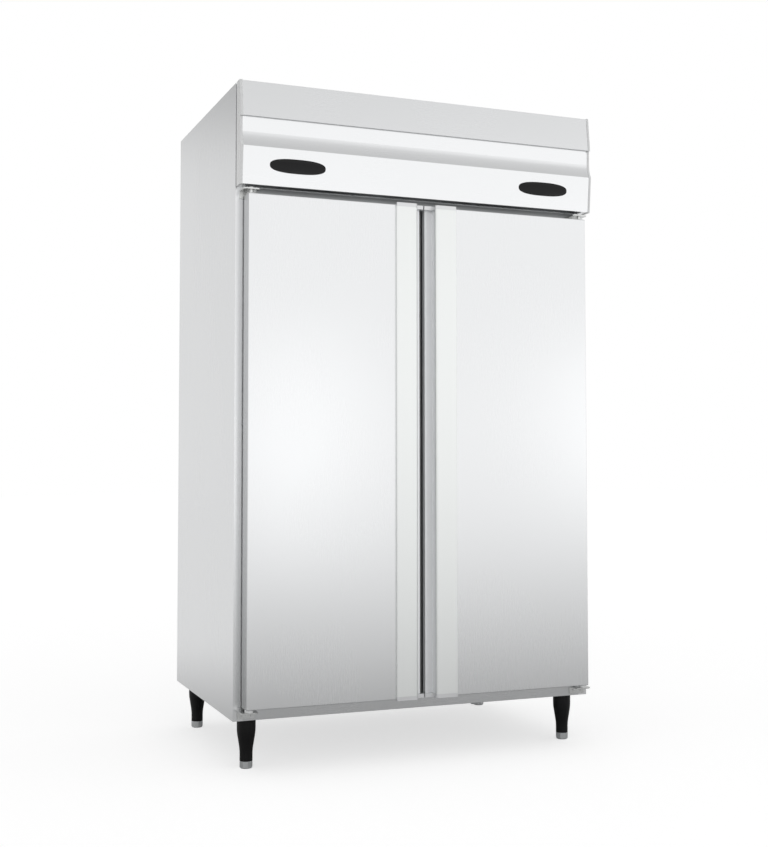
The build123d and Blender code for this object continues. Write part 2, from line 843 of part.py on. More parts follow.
def wire_shelf():
    """Wire shelf at height zero: a rod frame with wires welded across its top, front to back."""
    reach = (room_outer - room_inner) / 2 - shelf_side_gap
    front = face_y + breaker_depth + shelf_front_inset
    back = room_back - shelf_rear_gap
    bend = 4 * shelf_frame_radius
    corners = [(room_middle - reach, front), (room_middle + reach, front),
               (room_middle + reach, back), (room_middle - reach, back)]
    loop = FilletPolyline(*[(x, y, shelf_frame_radius) for x, y in corners], radius=bend, close=True)
    start = Plane(origin=loop @ 0, x_dir=(0, 0, 1), z_dir=loop % 0)
    frame = sweep(start * bar_section(shelf_frame_radius, 8), path=loop)
    rail = Plane(origin=(room_middle - reach, (front + back) / 2, shelf_frame_radius), x_dir=(0, 1, 0),
                 z_dir=(1, 0, 0))
    frame += extrude(rail * bar_section(shelf_frame_radius, 8), amount=2 * reach)
    wire_z = 2 * shelf_frame_radius + shelf_wire_radius - shelf_weld
    pitch = 2 * (reach - bend) / (shelf_wire_count - 1)
    for index in range(shelf_wire_count):
        x = room_middle - reach + bend + index * pitch
        end = Plane(origin=(x, back + shelf_wire_radius, wire_z), x_dir=(1, 0, 0), z_dir=(0, -1, 0))
        frame += extrude(end * bar_section(shelf_wire_radius, 6), amount=back - front + 2 * shelf_wire_radius)
    return frame


def shelves():
    """The wire shelves of one compartment, resting on their clips."""
    shelf = Pos(0, 0, pipe_clearance) * wire_shelf()
    return Compound(children=[(Pos(0, 0, height) * shelf).solid() for height in shelf_heights()])


# Fans

def fan(radius, hub, depth):
    """Axial fan round the Y axis, with twisted blades lofted from root to tip."""
    half = depth / 2
    wheel = rod_y(hub, -half, half, 0, 0)
    root = hub * 0.9
    root_width = hub * 1.1
    tip_width = radius * 0.62
    root_plane = Plane(origin=(root, 0, 0), x_dir=(0, 0, 1), z_dir=(1, 0, 0))
    tip_plane = Plane(origin=(radius, 0, 0), x_dir=(0, 0, 1), z_dir=(1, 0, 0))
    blade = loft([root_plane * Rot(0, 0, blade_root_pitch) * Rectangle(root_width, blade_thickness),
                  tip_plane * Rot(0, 0, blade_tip_pitch) * Rectangle(tip_width, blade_thickness)])
    limit = rod_y(radius, -half, half, 0, 0)
    blade = blade & limit
    for index in range(fan_blades):
        wheel += Rot(0, 360 / fan_blades * index, 0) * blade
    return wheel - rod_y(shaft_radius + shaft_clearance, -half - 1, half + 1, 0, 0)


def fan_motor(radius, length, fan_depth, arm_reach, arm_ahead, arm_count):
    """Motor behind a fan centred at the origin, with its shaft and the arms that carry it."""
    front = fan_depth / 2 + motor_gap
    motor = rod_y(radius, front, front + length, 0, 0)
    motor = chamfer(motor.edges().filter_by(GeomType.CIRCLE), radius * 0.12)
    motor += rod_y(shaft_radius, -fan_depth / 2, front + 1, 0, 0)
    arm_y = front + arm_sheet
    for index in range(arm_count):
        bar = block((0, arm_reach + arm_width / 2), (arm_y, arm_y + arm_sheet), (-arm_width / 2, arm_width / 2))
        leg = block((arm_reach + arm_width / 2 - arm_sheet, arm_reach + arm_width / 2),
                    (arm_ahead, arm_y + arm_sheet), (-arm_width / 2, arm_width / 2))
        motor += Rot(0, 360 / arm_count * index, 0) * (bar + leg)
    return motor


# Evaporator of the right compartment

def cooler_limits():
    """Limits in X, Y and Z of the evaporator cover."""
    front = room_back - cooler_depth
    return ((room_inner + cooler_side_gap, room_outer - cooler_side_gap), (front, room_back),
            (room_top - cooler_height, room_top))


def cooler_fan_place():
    """Centre of the evaporator fan."""
    x, y, z = cooler_limits()
    return room_middle, y[0] + cooler_fan_set_back + cooler_fan_depth / 2, (z[0] + z[1]) / 2


def evaporator_cover():
    """Folded housing under the ceiling, with a fan outlet, a ring guard and return slots."""
    x, y, z = cooler_limits()
    cover = block(x, y, z)
    cover -= block((x[0] + cooler_sheet, x[1] - cooler_sheet), (y[0] + cooler_sheet, y[1] + 1),
                   (z[0] + cooler_sheet, z[1] + 1))
    fan_x, fan_y, fan_z = cooler_fan_place()
    outlet = Circle(cooler_fan_radius + fan_tip_clearance)
    for index in range(1, 4):
        ring = index / 4 * cooler_fan_radius
        outlet -= Circle(ring + cooler_sheet) - Circle(ring - cooler_sheet)
    for angle in (45, 135):
        outlet -= Rot(0, 0, angle) * Rectangle(3 * cooler_fan_radius, 2 * cooler_sheet)
    cover -= Pos(fan_x, 0, fan_z) * backward(outlet, y[0] - 1, y[0] + 2 * cooler_sheet)
    spread = (x[1] - x[0]) * 0.8 / (return_slot_count - 1)
    slot = block((-cooler_fan_radius / 4, cooler_fan_radius / 4), (y[1] - 60, y[1] - 30),
                 (z[0] - 1, z[0] + 2 * cooler_sheet))
    for index in range(return_slot_count):
        cover -= Pos(room_middle + (index - (return_slot_count - 1) / 2) * spread, 0, 0) * slot
    return cover


def coil_limits():
    """Limits in X, Y and Z of the evaporator coil's finned block."""
    x, y, z = cooler_limits()
    top = room_top - (cooler_height - coil_height) / 2
    front = y[0] + coil_set_back
    return (x[0] + coil_side_gap, x[1] - coil_side_gap), (front, front + coil_depth), (top - coil_height, top)


def evaporator_coil():
    """Finned block hung between two end plates from the ceiling."""
    x, y, z = coil_limits()
    coil = block(x, y, z)
    pitch = (x[1] - x[0]) / (coil_fin_count + 1)
    groove = block((-pitch * 0.3, pitch * 0.3), (y[0] - 1, y[0] + coil_depth * 0.2), (z[0] - 1, z[1] + 1))
    for index in range(coil_fin_count):
        coil -= Pos(x[0] + (index + 1) * pitch, 0, 0) * groove
    for plate in ((x[0] - coil_end_plate, x[0]), (x[1], x[1] + coil_end_plate)):
        coil += block(plate, y, (z[0], room_top))
    return coil


def cooler_fan():
    """Fan of the evaporator, in place."""
    return Pos(*cooler_fan_place()) * fan(cooler_fan_radius, cooler_fan_hub, cooler_fan_depth)


def cooler_motor():
    """Motor of the evaporator fan, carried on two arms from the cover's front."""
    place = cooler_fan_place()
    cover_inside = cooler_limits()[1][0] + cooler_sheet
    reach = cooler_fan_radius + fan_tip_clearance + arm_width
    return Pos(*place) * fan_motor(cooler_motor_radius, cooler_motor_length, cooler_fan_depth, reach,
                                   cover_inside - place[1], 2)


# Condensing unit of the right side

def condenser_limits():
    """Limits in X, Y and Z of the condenser."""
    front = face_y + condenser_ahead_gap
    return ((unit_out - condenser_width / 2, unit_out + condenser_width / 2), (front, front + condenser_depth),
            (deck_top, deck_top + condenser_height))


def condenser():
    """Finned block in a steel frame, standing on the deck."""
    x, y, z = condenser_limits()
    coil = block(x, y, z)
    inner = (x[0] + condenser_frame, x[1] - condenser_frame)
    pitch = (inner[1] - inner[0]) / condenser_fin_count
    groove = block((-pitch * 0.3, pitch * 0.3), (y[0] - 1, y[0] + condenser_depth * 0.4),
                   (z[0] + condenser_frame, z[1] - condenser_frame))
    for index in range(condenser_fin_count):
        coil -= Pos(inner[0] + (index + 0.5) * pitch, 0, 0) * groove
    return coil


def condenser_fan_place():
    """Centre of the condenser fan."""
    x, y, z = condenser_limits()
    return unit_out, y[1] + shroud_depth, (z[0] + z[1]) / 2


def fan_shroud():
    """Sheet box behind the condenser with a collar round the fan."""
    x, y, z = condenser_limits()
    back = y[1] + shroud_depth
    box = block(x, (y[1], back), z)
    box -= block((x[0] + shroud_sheet, x[1] - shroud_sheet), (y[1] - 1, back - shroud_sheet),
                 (z[0] + shroud_sheet, z[1] - shroud_sheet))
    place = condenser_fan_place()
    hole = condenser_fan_radius + fan_tip_clearance
    half = shroud_collar / 2
    box += rod_y(hole + shroud_sheet, back - half, back + half, place[0], place[2])
    return box - rod_y(hole, y[1], back + shroud_collar, place[0], place[2])


def condenser_fan():
    """Fan of the condenser, in place."""
    return Pos(*condenser_fan_place()) * fan(condenser_fan_radius, condenser_fan_hub, condenser_fan_depth)


def condenser_motor():
    """Motor of the condenser fan, carried on three arms from the shroud."""
    reach = condenser_fan_radius + fan_tip_clearance + arm_width
    return Pos(*condenser_fan_place()) * Rot(0, -90, 0) * fan_motor(
        condenser_motor_radius, condenser_motor_length, condenser_fan_depth, reach, 0, 3)


def compressor():
    """Hermetic compressor: a domed shell with a weld seam, on a foot plate with four grommets."""
    bottom = deck_top + compressor_foot
    top = bottom + compressor_height
    seam = bottom + compressor_height * 0.55
    radius = compressor_width / 2
    flat = radius - compressor_round
    side = FilletPolyline((0, top), (flat, top), (radius, top - compressor_round), (radius, seam + seam_height),
                          radius=compressor_round)
    rest = Polyline((radius, seam + seam_height), (radius + seam_width, seam + seam_height),
                    (radius + seam_width, seam), (radius, seam), (radius, bottom), (0, bottom), (0, top))
    shell = revolve(Plane.XZ * make_face([*side.edges(), *rest.edges()]), axis=Axis.Z)
    foot = upright(RectangleRounded(compressor_length, compressor_width, grommet_radius), bottom,
                   bottom + compressor_plate)
    unit = shell + foot
    spread = (compressor_length - 2 * grommet_radius, compressor_width - 2 * grommet_radius)
    for place in GridLocations(spread[0], spread[1], 2, 2):
        unit += rod_z(grommet_radius, deck_top, bottom + 1, place.position.X, place.position.Y)
    cover = block((-radius - terminal_depth, 0), (-terminal_width / 2, terminal_width / 2),
                  (seam - terminal_height, seam - terminal_height / 3))
    return Pos(unit_out, face_y + compressor_set_back, 0) * (unit + cover)


def discharge_path():
    """Centre line of the pipe from the compressor's top to the condenser's end frame."""
    x, y, z = condenser_limits()
    start_y = face_y + compressor_set_back
    start_z = deck_top + compressor_foot + compressor_height
    out = x[1] + 2 * refrigerant_bend
    end = (x[1], y[0] + condenser_depth / 2, z[0] + condenser_height * 0.7)
    return FilletPolyline((unit_out, start_y, start_z), (unit_out, start_y, start_z + discharge_rise),
                          (out, start_y, start_z + discharge_rise), (out, end[1], start_z + discharge_rise),
                          (out, end[1], end[2]), end, radius=refrigerant_bend)


def suction_place():
    """X and Y of the upright pipe from the evaporator coil through the roof."""
    x, y, z = coil_limits()
    return x[1] - suction_side_inset, (y[0] + y[1]) / 2


def suction_path():
    """Centre line of the pipe from the evaporator coil's top up to the compressor."""
    x, y = suction_place()
    side = face_y + compressor_set_back
    level = deck_top + compressor_foot + compressor_height * 0.45
    shell_edge = unit_out + compressor_width / 2 + pipe_clearance
    return FilletPolyline((x, y, coil_limits()[2][1]), (x, y, level), (x, side, level),
                          (shell_edge, side, level), radius=refrigerant_bend)


def swept(path, radius):
    """Round bar along a path."""
    return sweep(Plane(origin=path @ 0, z_dir=path % 0) * Circle(radius), path=path)


def suction_space():
    """Hole for the suction pipe through the liner, the foam and the deck."""
    x, y = suction_place()
    return rod_z(refrigerant_radius + pipe_clearance, room_top - 1, deck_top + 1, x, y)


def refrigerant_pipes():
    """Discharge and suction pipes of one unit."""
    paths = (discharge_path(), suction_path())
    return Compound(children=[swept(path, refrigerant_radius).solid() for path in paths])


def control_box():
    """Sheet box with the mains terminals, between the two units."""
    front = face_y + control_box_set_back
    top = deck_top + control_box_height
    plan = RectangleRounded(control_box_width, control_box_depth, control_box_corner)
    box = upright(plan, deck_top, top)
    lid = upright(offset(plan, control_lid_over), top - control_lid_height, top + control_lid_sheet)
    return Pos(0, front + control_box_depth / 2, 0) * (box + lid)


def power_inlet():
    """Cord gland in the rear grille: a barrel, a collar behind the sheet and a hexagon nut inside."""
    z = deck_top + inlet_rise
    inner = rear_panel_y - inlet_length / 2
    outer = back_y
    barrel = rod_y(inlet_radius - pipe_clearance, inner, outer, 0, z)
    nut = backward(Pos(0, z) * RegularPolygon(inlet_nut_across / 2, 6, major_radius=False),
                   rear_panel_y - inlet_nut_thickness, rear_panel_y)
    return barrel + nut - rod_y(inlet_bore, inner - 1, outer + 1, 0, z)


# Drains

def condensate_path():
    """Centre line of the pipe from behind the evaporator down the rear wall and out under the base."""
    z = room_top - cooler_height + coil_pan_gap
    y = (room_back + rear_panel_y) / 2
    return FilletPolyline((room_middle, room_back - drain_reach, z), (room_middle, y, z),
                          (room_middle, y, leg_height), radius=drain_bend)


def drain_space():
    """Space of the drain pipes, cut from what they pass through."""
    pipe = swept(condensate_path(), drain_radius + pipe_clearance)
    floor = rod_z(drain_radius + pipe_clearance, leg_height, room_bottom, floor_drain_out,
                  face_y + floor_drain_set_back)
    return pipe + mirrored(pipe) + floor


def drain_spigot(x, y):
    """End of a drain pipe under the base: a spigot for a hose, with a sloped shoulder."""
    bottom = leg_height - drain_drop
    slope = drain_radius - drain_spigot_radius
    wall = polygon([(drain_bore, bottom), (drain_spigot_radius, bottom),
                    (drain_spigot_radius, leg_height - slope), (drain_radius, leg_height),
                    (drain_bore, leg_height)])
    return Pos(x, y, 0) * revolve(Plane.XZ * wall, axis=Axis.Z)


def drain_pipes():
    """Condensate pipes of both compartments, and the floor drain of the right one."""
    path = condensate_path()
    pipe = swept(path, drain_radius) - swept(path, drain_bore)
    pipe += drain_spigot(room_middle, (room_back + rear_panel_y) / 2)
    y = face_y + floor_drain_set_back
    floor = rod_z(drain_radius, leg_height, room_bottom, floor_drain_out, y)
    floor -= rod_z(drain_bore, 0, cabinet_height, floor_drain_out, y)
    floor += drain_spigot(floor_drain_out, y)
    return Compound(children=[pipe.solid(), mirrored(pipe).solid(), floor.solid()])


# Legs and feet

def leg_places():
    """X and Y of the four legs: front left, front right, rear left, rear right."""
    out = half_width - leg_side_inset
    front = face_y + leg_front_inset
    rear = back_y - leg_rear_inset
    return [(-out, front), (out, front), (-out, rear), (out, rear)]


def leg_plates():
    """Reinforcing plates inside the base pan, one over each leg."""
    plates = []
    for x, y in leg_places():
        plate = upright(Pos(x, y) * RectangleRounded(leg_plate_size, leg_plate_size, 6), foam_bottom,
                        foam_bottom + leg_plate_sheet)
        hole = rod_z(spigot_radius + pipe_clearance, foam_bottom - 1, foam_bottom + leg_plate_sheet + 1, x, y)
        plates.append((plate - hole).solid())
    return Compound(children=plates)


def leg():
    """Tapered leg at the origin, with a spigot into the base and a bore for the foot's stud."""
    side = FilletPolyline((leg_end_radius, foot_height), (leg_end_radius, leg_taper_end),
                          (leg_top_radius, leg_height - leg_straight), (leg_top_radius, leg_height),
                          radius=leg_bend)
    top = leg_height + spigot_length
    rest = Polyline((leg_top_radius, leg_height), (spigot_radius, leg_height), (spigot_radius, top), (0, top),
                    (0, foot_height), (leg_end_radius, foot_height))
    edges = [side, rest]
    face = make_face([edge for part in edges for edge in part.edges()])
    body = revolve(Plane.XZ * face, axis=Axis.Z)
    return body - rod_z(stud_radius + stud_clearance, foot_height - 1, foot_height + stud_length + 2, 0, 0)


def legs():
    """The four legs."""
    one = leg()
    return Compound(children=[(Pos(x, y, 0) * one).solid() for x, y in leg_places()])


def foot():
    """Levelling foot at the origin: a faceted base with a rounded rim and a stud up into the leg."""
    plan = RegularPolygon(foot_across / 2, foot_sides, major_radius=False)
    base = upright(plan, 0, foot_height - seat_clearance)
    corner = foot_across / 2 / math.cos(math.pi / foot_sides)
    profile = polygon([(0, 0), (corner - foot_round, 0), (corner, foot_round), (corner, foot_height),
                       (0, foot_height)])
    base = base & revolve(Plane.XZ * profile, axis=Axis.Z)
    return base + rod_z(stud_radius, foot_round, foot_height + stud_length, 0, 0)


def build():
    """Make every sub-part and write it to its own file."""
    os.makedirs("parts", exist_ok=True)
    pairs = {
        "side_panel": side_panel(),
        "breaker_strip": breaker_strip(),
        "liner": liner(),
        "shelves": shelves(),
        "evaporator_cover": evaporator_cover(),
        "evaporator_fan": cooler_fan(),
        "condenser_fan": condenser_fan(),
        "door_skin": door_skin(),
        "door_foam": door_foam(),
        "door_liner": door_liner(),
        "door_gasket": door_gasket(),
        "handle_strip": handle_strip(),
        "handle_caps": handle_caps(),
        "door_bushes": door_bushes(),
    }
    for name, shape in pairs.items():
        save(f"{name}_right", shape)
        save(f"{name}_left", mirrored(shape))
    save("display_window_right", display_window(window_out))
    save("display_window_left", display_window(-window_out))
    groups = {
        "header_end_caps": both(end_cap()),
        "controllers": both(controller(window_out)),
        "shelf_standards": both(shelf_standards()),
        "shelf_clips": both(shelf_clips()),
        "evaporator_coils": both(evaporator_coil()),
        "evaporator_fan_motors": both(cooler_motor()),
        "condensers": both(condenser()),
        "fan_shrouds": both(fan_shroud()),
        "condenser_fan_motors": both(condenser_motor()),
        "compressors": both(compressor()),
        "refrigerant_pipes": both(refrigerant_pipes()),
        "hinge_brackets": both(hinge_brackets()),
        "hinge_pins": both(hinge_pins()),
        "rear_panel": rear_panel(),
        "rear_grille": rear_grille(),
        "base_pan": base_pan(),
        "bottom_rail": bottom_rail(),
        "insulation_body": insulation_body(),
        "face_frame": face_frame(),
        "machine_deck": machine_deck(),
        "header_panel": header_panel(),
        "control_box": control_box(),
        "power_inlet": power_inlet(),
        "drain_pipes": drain_pipes(),
        "leg_plates": leg_plates(),
        "legs": legs(),
    }
    for name, shape in groups.items():
        save(name, shape)
    one = foot()
    for (x, y), name in zip(leg_places(), ("front_left", "front_right", "rear_left", "rear_right")):
        save(f"foot_{name}", Pos(x, y, 0) * one)


build()
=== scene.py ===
"""Looks of a two-door commercial fridge freezer: finishes, small hardware, floor, lamps and camera.

Metres, +X to the right, +Y to the back, +Z up, in the frame of the packed model.
"""
import math

import bpy
from bpy.props import FloatProperty, FloatVectorProperty, IntProperty, PointerProperty
from bpy.types import Operator, Panel, PropertyGroup
from mathutils import Matrix, Vector


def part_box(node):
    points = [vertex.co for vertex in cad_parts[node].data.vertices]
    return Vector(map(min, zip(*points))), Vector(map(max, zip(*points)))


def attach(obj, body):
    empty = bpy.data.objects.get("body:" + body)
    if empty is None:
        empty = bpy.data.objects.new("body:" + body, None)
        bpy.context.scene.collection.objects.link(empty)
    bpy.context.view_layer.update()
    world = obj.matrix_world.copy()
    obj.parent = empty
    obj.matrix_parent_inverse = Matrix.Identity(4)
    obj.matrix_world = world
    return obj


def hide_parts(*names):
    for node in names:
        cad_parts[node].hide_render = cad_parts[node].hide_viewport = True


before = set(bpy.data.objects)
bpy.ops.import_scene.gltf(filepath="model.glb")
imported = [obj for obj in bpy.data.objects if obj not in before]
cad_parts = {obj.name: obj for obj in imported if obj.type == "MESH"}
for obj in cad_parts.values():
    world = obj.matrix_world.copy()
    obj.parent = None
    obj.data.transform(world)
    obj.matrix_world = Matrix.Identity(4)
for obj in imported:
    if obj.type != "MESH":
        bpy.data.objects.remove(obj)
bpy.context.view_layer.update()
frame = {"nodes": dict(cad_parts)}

bl_info = {
    "name": "Commercial fridge freezer",
    "version": (1, 0, 0),
    "blender": (4, 5, 0),
    "location": "3D View > Sidebar > Fridge",
    "description": "Finishes, small hardware and studio of a two-door upright fridge freezer",
    "category": "Object",
}


def linear(hex_colour):
    """An sRGB hex colour as linear red, green and blue."""
    parts = [int(hex_colour[i:i + 2], 16) / 255 for i in (1, 3, 5)]
    return tuple(c / 12.92 if c <= 0.04045 else ((c + 0.055) / 1.055) ** 2.4 for c in parts)


def colour(name, description, hex_colour):
    """A colour setting."""
    return FloatVectorProperty(name=name, description=description, subtype="COLOR", size=3, min=0, max=1,
                               default=linear(hex_colour))


def length(name, description, metres):
    """A length setting."""
    return FloatProperty(name=name, description=description, unit="LENGTH", subtype="DISTANCE",
                         default=metres, precision=4)


def share(name, description, value):
    """A setting from 0 to 1."""
    return FloatProperty(name=name, description=description, subtype="FACTOR", min=0, max=1, default=value)


def angle(name, description, degrees):
    """An angle setting."""
    return FloatProperty(name=name, description=description, subtype="ANGLE", default=math.radians(degrees))


def number(name, description, value):
    """A setting without a unit."""
    return FloatProperty(name=name, description=description, default=value)


class FridgeSteel(PropertyGroup):
    """Colours and grain of the metal sheets."""

    outer: colour("Outer steel", "Brushed stainless of the doors and sides", "#DFE0E1")
    outer_roughness: share("Outer roughness", "Blur of reflections in the outer steel", 0.27)
    header: colour("Header steel", "Brushed stainless of the header", "#E5E6E7")
    rail: colour("Rail steel", "Duller stainless of the rail under the doors", "#CACBCC")
    # The frame's dark colour is painted shade in the gaps under the header and between the doors.
    frame: colour("Frame steel", "Stainless of the frame behind the doors", "#8F9192")
    inner: colour("Inner steel", "Stainless of the liners", "#D9DADB")
    inner_roughness: share("Inner roughness", "Blur of reflections in the liners and the frame", 0.36)
    galvanised: colour("Galvanised steel", "Zinc-coated sheet at the back and in the machine bay", "#B9BCBE")
    zinc: colour("Zinc plate", "Hinge brackets and pins", "#D2D3D2")
    anodised: colour("Anodised aluminium", "Handle strips", "#EAECEB")
    # The side folds' darker colour is painted shade, and the finger channels' paler colour is painted light.
    fold_painted_shade: share("Fold tone", "How pale the doors' side folds are beside their fronts", 0.68)
    channel_painted_light: number("Channel tone", "How pale the finger channels are beside the doors' fronts", 1.22)
    grain_width: length("Grain width", "Width of one brushed streak", 0.0009)
    grain_length: length("Grain length", "Length of one brushed streak", 0.09)
    edge_round: length("Edge rounding", "Radius of the light on folded edges", 0.0008)


class FridgeMouldings(PropertyGroup):
    """Colours of the plastics, coatings and machine parts."""

    cap: colour("End caps", "Moulded caps of the header", "#E7E8E8")
    handle_cap: colour("Handle caps", "Silver lacquer on the handle caps", "#DCDDDE")
    window: colour("Display windows", "Smoked acrylic", "#0B0B0D")
    leg: colour("Legs", "Black nylon", "#09090A")
    gasket: colour("Gaskets", "Grey vinyl", "#5B5D60")
    liner: colour("Door liners", "White polystyrene", "#E6E7E7")
    foam: colour("Foam", "Rigid polyurethane foam", "#E3D2A4")
    wire: colour("Shelf coating", "Pale polyethylene on the shelf wires", "#D6D9DB")
    drain: colour("Drain pipes", "Grey vinyl pipe", "#A9ACAE")
    blade: colour("Fan blades", "Glass-filled nylon", "#1D1E20")
    fin: colour("Coil fins", "Bare aluminium", "#C3C6C9")
    casting: colour("Motors", "Cast aluminium", "#8C8F92")
    enamel: colour("Compressors", "Black enamel", "#111214")
    copper: colour("Pipes", "Drawn copper", "#C98A66")
    tarnish: colour("Tarnish", "Brown clouds on the copper", "#8A5B42")
    foot: colour("Feet", "Turned steel", "#D3D5D6")


class FridgeHardware(PropertyGroup):
    """Sizes of the small hardware."""

    screw_radius: length("Screw head radius", "Pan head of an M4 screw", 0.0036)
    screw_height: length("Screw head height", "How far a pan head stands out", 0.0013)
    screw_pitch: length("Screw spacing", "Distance between screws along a sheet's edge", 0.245)
    nut_across: length("Nut width", "Across the flats of an M6 nut", 0.010)
    nut_height: length("Nut height", "Thickness of an M6 nut", 0.005)
    window_length: length("Window length", "Length of an oval display window", 0.177)
    window_height: length("Window height", "Height of an oval display window", 0.0436)
    window_rim: length("Window rim", "How far a window stands out of the header", 0.0015)
    window_squareness: share("Window squareness", "0.5 gives an ellipse, 1 a rectangle", 0.587)
    bend_pitch: length("Coil tube pitch", "Distance between a coil's tubes", 0.025)
    bend_tube: length("Coil tube radius", "Outer radius of a coil's tubes", 0.0048)
    bend_count: IntProperty(name="Return bends", description="Bends on the inner end of a condenser",
                            default=5, min=1)


class FridgeStage(PropertyGroup):
    """Camera, lamps and floor."""

    camera_place: FloatVectorProperty(name="Camera", description="Place of the camera", unit="LENGTH",
                                      subtype="TRANSLATION", size=3, default=(-1.58031, -3.95641, 0.91973))
    camera_pitch: angle("Pitch", "Tilt above the horizon", 2.66)
    camera_yaw: angle("Yaw", "Turn to the right", 21.55)
    lens: number("Lens", "Focal length in millimetres on a 36 mm frame", 53.14)
    shift_x: number("Shift X", "Sideways shift of the lens", 0.01164)
    shift_y: number("Shift Y", "Upward shift of the lens", -0.02419)
    sky: number("Studio light", "Brightness of the brightest wall", 1.32)
    glow: number("Glow", "Brightness that each oval lamp adds", 0.36)
    floor: colour("Floor", "Pale matt floor", "#C4C4C4")
    floor_white: number("Floor white", "Light added where the camera sees the floor", 0.62)
    # The floor's glow in reflections is a painted shadow of the cabinet, dim near it and paler far off.
    floor_near: number("Near floor", "Light that reflections find on the floor beside the cabinet", 0.02)
    floor_far: number("Far floor", "Light that reflections find on the floor far in front", 0.80)
    floor_behind: number("Floor behind", "The same far behind the cabinet", 0.50)


GROUPS = {"fridge_steel": FridgeSteel, "fridge_mouldings": FridgeMouldings,
          "fridge_hardware": FridgeHardware, "fridge_stage": FridgeStage}


def settings(group):
    """The settings of one group."""
    return getattr(bpy.context.scene, group)


# Materials

# Most values of a noise texture lie in this span.
NOISE_SPAN = {"From Min": 0.3, "From Max": 0.7}

# A band texture repeats every 2 pi / 20 metres at scale 1.
BAND_PITCH = 2 * math.pi / 20


def add(tree, kind, inputs=None, **values):
    """Add one shader node, set its values, and fill or link its inputs, apart from those given as None."""
    made = tree.nodes.new(kind)
    for name, value in values.items():
        setattr(made, name, value)
    for name, value in (inputs or {}).items():
        if isinstance(value, bpy.types.NodeSocket):
            tree.links.new(value, made.inputs[name])
        elif value is not None:
            made.inputs[name].default_value = value
    return made


def blank_material(name, base, roughness, metallic=0.0):
    """A material with a Principled shader; returns it, its tree, the shader and the place on the object."""
    made = bpy.data.materials.new(name)
    made.use_nodes = True
    tree = made.node_tree
    tree.nodes.clear()
    shader = add(tree, "ShaderNodeBsdfPrincipled", {
        "Base Color": (*base, 1), "Roughness": roughness, "Metallic": metallic})
    add(tree, "ShaderNodeOutputMaterial", {"Surface": shader.outputs[0]})
    place = add(tree, "ShaderNodeTexCoord")
    return made, tree, shader, place.outputs["Object"]


def surface(made, tree, shader, tone=None, rough=None, edge=None, relief=None):
    """Link a material's patterns to its shader, and return the material.

    The tone node multiplies the base colour, and the rough node gives the roughness. Edge is the radius in
    metres of the light on folds and corners. Relief is the height, strength and depth in metres of a bump.
    """
    if tone:
        plain = tuple(shader.inputs["Base Color"].default_value)
        shade = add(tree, "ShaderNodeMix", {0: 1.0, 6: plain, 7: tone.outputs[0]}, data_type="RGBA",
                    blend_type="MULTIPLY")
        tree.links.new(shade.outputs[2], shader.inputs["Base Color"])
    if rough:
        tree.links.new(rough.outputs[0], shader.inputs["Roughness"])
    normal = None
    if edge:
        normal = add(tree, "ShaderNodeBevel", {"Radius": edge}, samples=4).outputs[0]
    if relief:
        height, strength, depth = relief
        normal = add(tree, "ShaderNodeBump", {
            "Height": height, "Strength": strength, "Distance": depth, "Normal": normal}).outputs[0]
    if normal:
        tree.links.new(normal, shader.inputs["Normal"])
        if shader.inputs["Coat Weight"].default_value:
            tree.links.new(normal, shader.inputs["Coat Normal"])
    return made


def per_metre(millimetres):
    """Texture scale that repeats about once in this many millimetres."""
    return 1000 / millimetres


